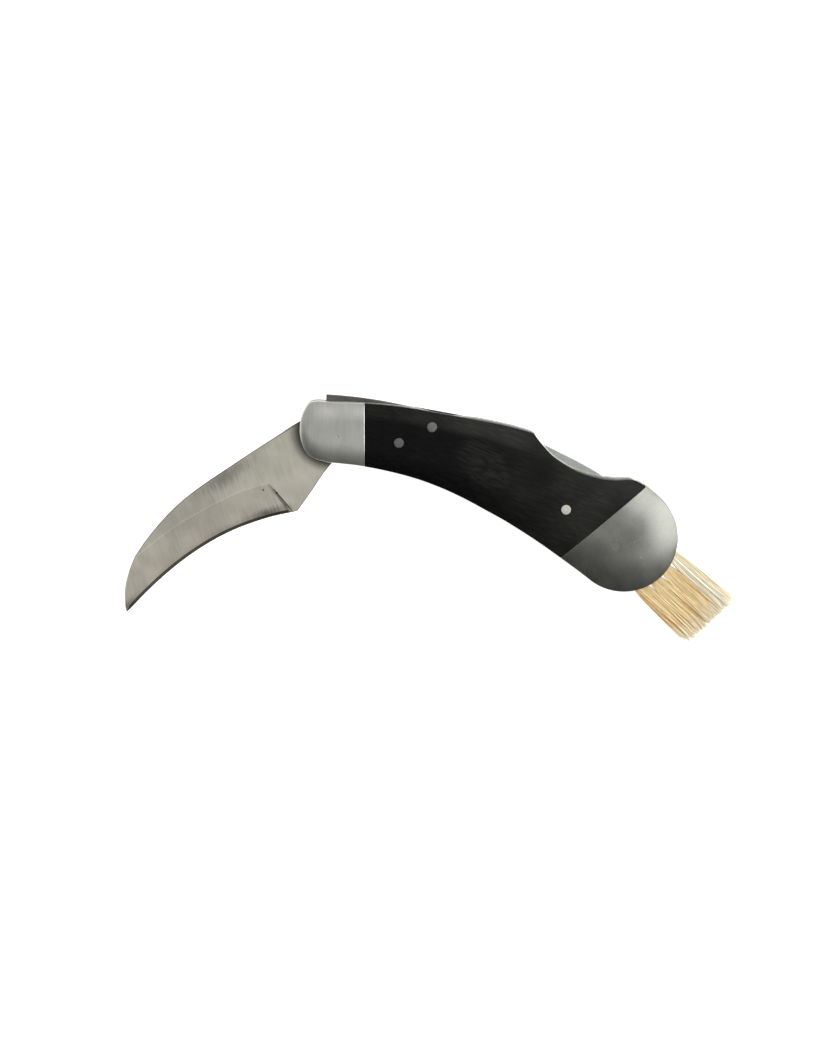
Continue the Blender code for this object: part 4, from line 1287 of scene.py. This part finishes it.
class KNIFE_OT_blade(bpy.types.Operator):
    """Builds the hawkbill blade: flats, ground bevels, plunge, sharpened edge and tang"""

    bl_idname = "foraging_knife.blade"
    bl_label = "Blade"

    def execute(self, context):
        plan = Plan(context.scene.knife_sizes)
        sizes = plan.sizes
        half = sizes.blade_thickness / 2
        bm = bmesh.new()
        columns = self.columns(plan, half)
        chain = [bm.verts.new(place) for place in columns[0]]
        for pair in zip(chain, chain[1:]):
            bm.edges.new(pair)
        chains = [chain]
        for places in columns[1:]:
            chains.append(grow(bm, chains[-1], places, False))

        foot = chains[0][: BEVEL_ROWS + 2]
        heel = plan.blade_line([HEEL_SHARES, *RICASSO_SHARES])
        outline = smooth_line([*heel, plan.tang()[0]], RICASSO_STEPS)[:-1]
        outline += plan.tang()
        spine = [plan.tang()[-1], *plan.blade_line(SPINE_SHARES)]
        outline += smooth_line(spine, SPINE_STEPS)[1:-1]
        grind = [column[0] for column in chains[1 : PLUNGE_STEPS + GRIND_STEPS + 1]]
        flat = [bm.verts.new((*point, half)) for point in outline]
        bm.faces.new([*foot, *flat, *reversed(grind)])

        finish = bm.faces.layers.float.new("blade_finish")
        for k, (earlier, later) in enumerate(zip(chains, chains[1:])):
            for row, value in enumerate(self.row_finishes(k)):
                corners = (earlier[row], earlier[row + 1], later[row + 1], later[row])
                bm.faces.get(corners)[finish] = value
        low = KEEN_HALF / 2
        rim = [e for e in bm.edges if e.is_boundary and min(v.co.z for v in e.verts) > low]
        walls = bmesh.ops.extrude_edge_only(bm, edges=rim)["geom"]
        for part in walls:
            if isinstance(part, bmesh.types.BMVert):
                part.co.z = 0
            elif isinstance(part, bmesh.types.BMFace):
                part[finish] = FINISH_DARK_WALL
        bmesh.ops.remove_doubles(bm, verts=bm.verts, dist=MERGE_DISTANCE)
        bmesh.ops.recalc_face_normals(bm, faces=bm.faces)
        spine = [
            edge
            for edge in sharp_edges(bm, CORNER_ANGLE)
            if all(vertex.co.z > UPPER_SHARE * half for vertex in edge.verts)
        ]
        for face in round_edges(bm, spine, sizes.joint_rounding):
            face[finish] = FINISH_DARK_WALL
        bmesh.ops.mirror(
            bm, geom=bm.verts[:] + bm.edges[:] + bm.faces[:], matrix=Matrix.Identity(4),
            merge_dist=MERGE_DISTANCE, axis="Z",
        )
        bore = rod_mesh(sizes.pivot_radius + RUNNING_GAP, -2 * half, 2 * half)
        steel = hawkbill_steel(context.scene.knife_colours)
        turn = Matrix.Rotation(REST_ANGLE, 4, "Z")
        add_piece("hawkbill_blade", bm, "blade", ["blade"], steel, [bore], turn)
        return {"FINISHED"}

    def row_finishes(self, plunge):
        """A column's finishes by row: ridge, bevel and edge, or the plunge's painted highlight and
        painted dark groove.
        """
        rows = [FINISH_RIDGE_PAINTED_HIGHLIGHT, *[FINISH_BEVEL] * BEVEL_ROWS, FINISH_KEEN, FINISH_KEEN]
        if plunge == 0:
            rows = [FINISH_RIDGE_PAINTED_HIGHLIGHT] * len(rows)
        elif plunge == 1:
            rows[GROOVE_ROW:] = [FINISH_GROOVE_PAINTED_DARK] * (len(rows) - GROOVE_ROW)
        return rows

    def columns(self, plan, half):
        """Columns of the ground bevel, from the plunge to the tip, down to the middle plane."""
        grind = even_line(plan.blade_line(GRIND_SHARES), GRIND_STEPS)
        point = even_line(plan.blade_line(POINT_SHARES), POINT_STEPS)
        upper = [*grind, *point[1:]]
        edge = smooth_line(plan.blade_line(EDGE_SHARES), FINE_STEPS)
        runs = np.array(distances(upper))
        lower = placed_along(edge, runs / runs[-1])
        heel = plan.blade_line([HEEL_SHARES])[0]
        plunge_foot = lerp(lower[0], heel, PLUNGE_FOOT_SHARE)
        way = (upper[1] - upper[0]).normalized()
        found = []
        for share in PLUNGE_RUN_SHARES[:-1]:
            top = upper[0] - (1 - share) * PLUNGE_LENGTH * way
            found.append(self.column(plan, top, lerp(plunge_foot, lower[0], share), half, share))
        for top, low in zip(upper, lower):
            thick = half
            if top.x > POINT_THICKNESS_SHARES[0][0] * plan.reach():
                thick *= smooth_value(POINT_THICKNESS_SHARES, top.x / plan.reach())
            found.append(self.column(plan, top, low, thick, 1))
        return found

    def column(self, plan, top, low, thick, share):
        """One column: the ridge, rows over the bevel, the sharpened edge and the middle plane."""
        half = plan.sizes.blade_thickness / 2
        ground = eased(share)
        span = max((top - low).length, MERGE_DISTANCE)
        band = min(plan.sizes.edge_band, BAND_LIMIT_SHARE * span) * ground
        ridge = min(plan.sizes.ridge_width, RIDGE_LIMIT_SHARE * span)
        shoulder_half = min(SHOULDER_HALF, thick)
        shoulder = lerp(low, top, band / span)
        places = [(*top, lerp(half, thick, ground))]
        for row in spread(0, 1, BEVEL_ROWS):
            across = lerp(ridge / span, 1, row)
            fall = lerp(thick, shoulder_half, across)
            places.append((*lerp(top, shoulder, across), lerp(half, fall, ground)))
        keen = lerp(half, min(KEEN_HALF, thick), ground)
        return [*places, (*low, keen), (*low, 0)]


class KNIFE_OT_lock_bar(bpy.types.Operator):
    """Builds the lock bar along the back, with its lug, eye and tail"""

    bl_idname = "foraging_knife.lock_bar"
    bl_label = "Lock bar"

    def execute(self, context):
        plan = Plan(context.scene.knife_sizes)
        half = plan.sizes.bar_thickness / 2
        mesh = plate_mesh(plan.bar_outline(), -half, half, plan.sizes.bar_rounding)
        radius = plan.sizes.pin_radius + RUNNING_GAP
        bore = rod_mesh(radius, -2 * half, 2 * half, plan.point(*ROCKER_SHARES))
        steel = bar_steel(context.scene.knife_colours)
        add_piece("rocker_bar", mesh, "lock_bar", ["lock_bar"], steel, [bore])
        return {"FINISHED"}


def ribbon(line, thickness):
    """The outline of a strip of one thickness along a line."""
    sides = []
    for k, point in enumerate(line):
        way = (line[min(k + 1, len(line) - 1)] - line[max(k - 1, 0)]).normalized()
        sides.append((point, thickness / 2 * Vector((-way.y, way.x))))
    left = [point + across for point, across in sides]
    right = [point - across for point, across in sides]
    return left + right[::-1]


class KNIFE_OT_leaf_spring(bpy.types.Operator):
    """Builds the leaf spring, bowed between the handle and the lock bar"""

    bl_idname = "foraging_knife.leaf_spring"
    bl_label = "Leaf spring"

    def execute(self, context):
        plan = Plan(context.scene.knife_sizes)
        half = plan.sizes.spring_width / 2
        line = plan.spring_line()
        strip = ribbon(smooth_line(line, SPRING_STEPS), SPRING_THICKNESS)
        mesh = plate_mesh(strip, -half, half, plan.sizes.plate_rounding)
        steel = bar_steel(context.scene.knife_colours)
        piece = add_piece("leaf_spring", mesh, None, ["lock_spring"], steel)
        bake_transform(piece)
        return {"FINISHED"}


def pin_profile(radius, low, high, rim_share=PIN_RIM_SHARE):
    """Half the outline of a pin whose ends are rounded and slightly domed."""
    rim = rim_share * radius
    top = [(radius - inward * rim, high - down * rim) for inward, down in PIN_RIM]
    top += [(radius * share, high - PIN_DOME * share**2) for share in PIN_DOME_SHARES]
    return [(r, low + high - z) for r, z in reversed(top)] + top


class KNIFE_OT_pins(bpy.types.Operator):
    """Builds the pins and rivets, each turned with slightly domed ends"""

    bl_idname = "foraging_knife.pins"
    bl_label = "Pins"

    def execute(self, context):
        plan = Plan(context.scene.knife_sizes)
        colours = context.scene.knife_colours
        satin, bright = rivet_steel(colours), pin_steel(colours)
        radius = plan.sizes.pin_radius
        pins = {
            "rocker_pin": (ROCKER_SHARES, satin, "satin_steel", PIN_RIM_SHARE),
            "rear_pin": (REAR_PIN_SHARES, bright, "bright_steel", PIN_RIM_SHARE),
            "butt_pin": (BUTT_PIN_SHARES, butt_steel(colours), "satin_steel", FINE_RIM_SHARE),
        }
        for name, (shares, metal, slot, rim_share) in pins.items():
            top = plan.pin_height(shares)
            mesh = spun_mesh(pin_profile(radius, -top, top, rim_share), plan.point(*shares))
            add_piece(name + "_turned", mesh, "handle", [name], metal)
        top = plan.cover_base + PIVOT_PIN_SINK
        mesh = spun_mesh(pin_profile(plan.sizes.pivot_radius, -top, top))
        add_piece("pivot_turned", mesh, "handle", ["pivot_pin"], satin)
        top = plan.crest - PIN_RECESS
        low = plan.sizes.slot_width / 2 + FIT_GAP
        for side_name, node_side, side in SIDES:
            heights = sorted((side * low, side * top))
            mesh = spun_mesh(pin_profile(radius, *heights), plan.point(*RIVET_SHARES))
            name, nodes = f"scale_rivet_{side_name}", [f"scale_rivet_{node_side}"]
            add_piece(name, mesh, "handle", nodes, satin)
        return {"FINISHED"}


class KNIFE_OT_washers(bpy.types.Operator):
    """Builds the two bronze washers beside the tang"""

    bl_idname = "foraging_knife.washers"
    bl_label = "Washers"

    def execute(self, context):
        plan = Plan(context.scene.knife_sizes)
        bronze = washer_bronze(context.scene.knife_colours)
        inner = plan.sizes.pivot_radius + RUNNING_GAP
        outer = plan.sizes.washer_radius
        for side_name, node_side, side in SIDES:
            low, high = (corner.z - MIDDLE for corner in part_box(f"washer_{node_side}"))
            soft = (high - low) * WASHER_SOFT_SHARE
            profile = [
                (inner, low), (outer - soft, low), (outer, low + soft), (outer, high - soft),
                (outer - soft, high), (inner, high), (inner, low),
            ]
            name, nodes = f"bronze_washer_{side_name}", [f"washer_{node_side}"]
            add_piece(name, spun_mesh(profile), "handle", nodes, bronze)
        return {"FINISHED"}


class KNIFE_OT_butt_filler(bpy.types.Operator):
    """Builds the plate between the liners at the butt and the plate that holds the tufts"""

    bl_idname = "foraging_knife.butt_filler"
    bl_label = "Butt filler and brush holder"

    def execute(self, context):
        plan = Plan(context.scene.knife_sizes)
        steel = bolster_steel(context.scene.knife_colours)
        half = plan.sizes.slot_width / 2 - FIT_GAP
        deep = 2 * half
        rounding = plan.sizes.plate_rounding
        bore = plan.sizes.pin_radius + RUNNING_GAP
        slit = ribbon(plan.spring_line()[:3], SPRING_THICKNESS + 2 * FIT_GAP)
        outlines = (plan.cutout_outline(), slit, plan.holder_outline(FIT_GAP))
        cutters = [
            rod_mesh(plan.reach() + TIP_CLEARANCE, -deep, deep, steps=SWEEP_STEPS),
            *[plate_mesh(outline, -deep, deep) for outline in outlines],
            rod_mesh(bore, -deep, deep, plan.point(*BUTT_PIN_SHARES)),
        ]
        mesh = plate_mesh(plan.filler_outline(), -half, half, rounding)
        add_piece("butt_filler", mesh, "handle", ["butt_spacer"], steel, cutters)
        mesh = plate_mesh(plan.holder_outline(), -half, half, rounding)
        places = plan.tuft_places()
        notches = [plate_mesh(plan.notch_outline(*place), -deep, deep) for place in places]
        add_piece("brush_holder", mesh, "handle", ["brush_block"], steel, notches)
        return {"FINISHED"}


class KNIFE_OT_brush(bpy.types.Operator):
    """Builds the four tufts, each a root slice with a few hundred tapering bristles"""

    bl_idname = "foraging_knife.brush"
    bl_label = "Brush"

    def execute(self, context):
        plan = Plan(context.scene.knife_sizes)
        bristle = straw_bristle(context.scene.knife_colours)
        for k, (across, face) in enumerate(plan.tuft_places(), 1):
            bm = self.tuft_mesh(plan, across, face, random.Random(TUFT_SEED + k))
            place = plan.butt_point(face, across)
            aimed = Matrix.Translation((*place, 0)) @ Matrix.Rotation(BRUSH_ANGLE, 4, "Z")
            bmesh.ops.transform(bm, matrix=aimed, verts=bm.verts)
            add_piece(f"bristles_{k}", bm, "handle", [f"tuft_{k}"], bristle)
        return {"FINISHED"}

    def tuft_mesh(self, plan, across, face, chance):
        """The tuft in its own frame, with each bristle's shade and run kept for its colour."""
        sizes = plan.sizes
        bm = bmesh.new()
        shade = bm.verts.layers.float.new("strand_shade")
        run_share = bm.verts.layers.float.new("strand_run")
        strand_number = bm.verts.layers.int.new("strand_number")
        corner_number = bm.verts.layers.int.new("corner_number")
        strands = []
        shift = PALE_TUFT_SHIFT if across > TUFT_PITCH else 0
        for column in range(sizes.strand_columns):
            column_shade = chance.random()
            for row in range(sizes.strand_rows):
                jitter = [chance.uniform(-STRAND_JITTER, STRAND_JITTER) for _ in range(2)]
                side = (column + 0.5 + jitter[0]) / sizes.strand_columns - 0.5
                rise = (row + 0.5 + jitter[1]) / sizes.strand_rows - 0.5
                root = (side * TUFT_WIDTH, rise * TUFT_THICKNESS)
                strands.append(
                    {
                        "root": [TUFT_FILL_SHARE * part for part in root],
                        "stray": [chance.gauss(0, STRAND_STRAY) for _ in range(2)],
                        "bow": [chance.gauss(0, STRAND_STRAY / 2) for _ in range(2)],
                        "end": 1 - STRAND_RAGGED_SHARE * chance.random(),
                        "shade": lerp(column_shade, chance.random(), STRAND_SHADE_MIX) + shift,
                        "turn": chance.random() * math.pi / 2,
                    }
                )

        def place(strand, corner, run, size):
            side, rise = strand["root"]
            reach = BRUSH_END - face + BRUSH_END_SLANT * (across + side - BRUSH_OFFSET)
            wave = STRAND_SWAY * math.sin(math.tau * (across + side) / STRAND_WAVE)
            power = lerp(FAN_POWER_BELOW, FAN_POWER, rise / TUFT_THICKNESS + 0.5)
            fan = 1 - (1 - run) ** power
            width = lerp(1, TUFT_END_WIDTH / TUFT_WIDTH, fan)
            depth = lerp(1, TUFT_END_THICKNESS / TUFT_THICKNESS, run)
            drift = run**2 * strand["stray"][0] + run * (1 - run) * strand["bow"][0]
            below = max((BRUSH_OFFSET - across - side) / (2 * TUFT_PITCH), 0)
            drift -= SPREAD_BELOW * run * below**2
            lift = run**2 * strand["stray"][1] + run * (1 - run) * strand["bow"][1]
            angle = strand["turn"] + corner * math.tau / STRAND_SIDES
            around = polar(size * sizes.strand_radius, angle)
            limit = TUFT_END_THICKNESS / 2
            height = min(max(rise * depth + lift, -limit), limit)
            return (
                run * strand["end"] * reach,
                side * width + wave * run**2 + drift + around.x,
                height + around.y,
            )

        for number, strand in enumerate(strands):
            ring = bmesh.ops.create_circle(bm, segments=STRAND_SIDES, radius=1)["verts"]
            for corner, vertex in enumerate(ring):
                vertex[strand_number] = number
                vertex[corner_number] = corner
                vertex[shade] = strand["shade"]
                vertex.co = place(strand, corner, 0, 1)
                vertex.co.x = -TUFT_ROOT / 2
        loose = bm.edges[:]
        for run, size in zip(STRAND_RUN_SHARES, STRAND_SIZE_SHARES):
            made = bmesh.ops.extrude_edge_only(bm, edges=loose)["geom"]
            loose = [part for part in made if isinstance(part, bmesh.types.BMEdge)]
            for vertex in (part for part in made if isinstance(part, bmesh.types.BMVert)):
                strand = strands[vertex[strand_number]]
                vertex.co = place(strand, vertex[corner_number], run, size)
                vertex[run_share] = run
        rims = [edge for edge in bm.edges if edge.is_boundary]
        bmesh.ops.holes_fill(bm, edges=rims, sides=STRAND_SIDES)
        bm.verts.layers.int.remove(bm.verts.layers.int["corner_number"])
        bm.verts.layers.int.remove(bm.verts.layers.int["strand_number"])
        root = bmesh.ops.create_cube(bm, size=1)["verts"]
        size = (TUFT_ROOT, TUFT_WIDTH, TUFT_THICKNESS)
        bmesh.ops.scale(bm, verts=root, vec=size)
        bmesh.ops.translate(bm, verts=root, vec=(-TUFT_ROOT / 2, 0, 0))
        edges = list({edge for vertex in root for edge in vertex.link_edges})
        round_edges(bm, edges, sizes.plate_rounding)
        return bm


# Stage


class KNIFE_OT_stage(bpy.types.Operator):
    """Sets the floor, the soft studio light, the surroundings and the camera"""

    bl_idname = "foraging_knife.stage"
    bl_label = "Stage"

    def execute(self, context):
        scene = context.scene
        scene.view_settings.view_transform = "Standard"
        self.make_floor(scene.knife_colours.floor)
        self.make_world(scene)
        self.make_lamp()
        self.make_camera(scene)
        return {"FINISHED"}

    def make_floor(self, colour):
        """A plain pale floor; what the camera sees of it is white but for the shadow."""
        bm = bmesh.new()
        bmesh.ops.create_grid(bm, x_segments=4, y_segments=4, size=FLOOR_SIZE)
        floor = mesh_object(bm, "floor")
        made = bpy.data.materials.new("pale_matt_floor")
        made.use_nodes = True
        tree = made.node_tree
        tree.nodes.clear()
        seen = self.background_rays(tree)
        matt = add_node(tree, "BsdfDiffuse", {"Color": colour})
        strength = add_node(tree, "Math", (seen, FLOOR_GLOW), operation="MULTIPLY")
        glow = add_node(tree, "Emission", {"Color": colour, "Strength": strength})
        both = add_node(tree, "AddShader", (matt, glow))
        add_node(tree, "OutputMaterial", {"Surface": both})
        floor.data.materials.append(made)

    def background_rays(self, tree):
        """One where a ray comes from the camera, a mirror or glass."""
        path = add_node(tree, "LightPath").node.outputs
        first = add_node(
            tree, "Math", (path["Is Camera Ray"], path["Is Glossy Ray"]), operation="ADD"
        )
        return add_node(
            tree, "Math", (first, path["Is Transmission Ray"]), operation="ADD", use_clamp=True
        )

    def make_world(self, scene):
        """White surroundings, with a dark flag over the side of the belly but a white horizon."""
        world = bpy.data.worlds.new("studio")
        world.use_nodes = True
        scene.world = world
        tree = world.node_tree
        tree.nodes.clear()
        way = add_node(tree, "TexCoord", out="Generated")
        side = add_node(tree, "VectorMath", (way, FLAG_SIDE), out="Value", operation="DOT_PRODUCT")
        overhead = add_node(tree, "MapRange", (side, *FLAG_RANGE), **SMOOTH_STEP)
        height = add_node(tree, "SeparateXYZ", (way,), out="Z")
        above = add_node(tree, "MapRange", (height, *HORIZON_RANGE), **SMOOTH_STEP)
        level = add_node(tree, "Mix", {0: above, 2: 1.0, 3: overhead}, data_type="FLOAT")
        light = add_node(tree, "Background", {"Color": (1, 1, 1, 1), "Strength": level})
        add_node(tree, "OutputWorld", {"Surface": light})

    def make_lamp(self):
        """A square soft box to the right of the knife."""
        data = bpy.data.lights.new("key_softbox", "AREA")
        data.shape = "SQUARE"
        data.size = LAMP_SIZE
        data.energy = LAMP_POWER
        lamp = linked_object("key_softbox", data)
        lamp.location = LAMP_PLACE
        lamp.rotation_euler = (LAMP_AIM - LAMP_PLACE).to_track_quat("-Z", "Y").to_euler()

    def make_camera(self, scene):
        """A long lens, looking down with a small tilt from the back's side."""
        data = bpy.data.cameras.new("photo_camera")
        data.lens = CAMERA_LENS
        data.sensor_width = CAMERA_SENSOR
        camera = linked_object("photo_camera", data)
        way = Vector((0, math.sin(CAMERA_TILT), math.cos(CAMERA_TILT)))
        camera.location = CAMERA_AIM + CAMERA_DISTANCE * way
        camera.rotation_euler = (-CAMERA_TILT, 0, 0)
        scene.camera = camera


OPERATORS = (
    KNIFE_OT_covers,
    KNIFE_OT_liners,
    KNIFE_OT_blade,
    KNIFE_OT_lock_bar,
    KNIFE_OT_leaf_spring,
    KNIFE_OT_pins,
    KNIFE_OT_washers,
    KNIFE_OT_butt_filler,
    KNIFE_OT_brush,
    KNIFE_OT_stage,
)


class KNIFE_PT_pieces(bpy.types.Panel):
    """Lists the knife's pieces, sizes and colours"""

    bl_idname = "KNIFE_PT_pieces"
    bl_label = "Foraging knife"
    bl_space_type = "VIEW_3D"
    bl_region_type = "UI"
    bl_category = "Knife"

    def draw(self, context):
        for operator in OPERATORS:
            self.layout.operator(operator.bl_idname)
        for group in (context.scene.knife_sizes, context.scene.knife_colours):
            box = self.layout.box()
            for name in type(group).__annotations__:
                box.prop(group, name)


CLASSES = (KnifeSizes, KnifeColours, *OPERATORS, KNIFE_PT_pieces)


def register():
    for made in CLASSES:
        bpy.utils.register_class(made)
    bpy.types.Scene.knife_sizes = PointerProperty(type=KnifeSizes)
    bpy.types.Scene.knife_colours = PointerProperty(type=KnifeColours)


def unregister():
    del bpy.types.Scene.knife_colours
    del bpy.types.Scene.knife_sizes
    for made in reversed(CLASSES):
        bpy.utils.unregister_class(made)


def main():
    register()
    for operator in OPERATORS:
        group, name = operator.bl_idname.split(".")
        getattr(getattr(bpy.ops, group), name)()


if __name__ == "__main__":
    main()
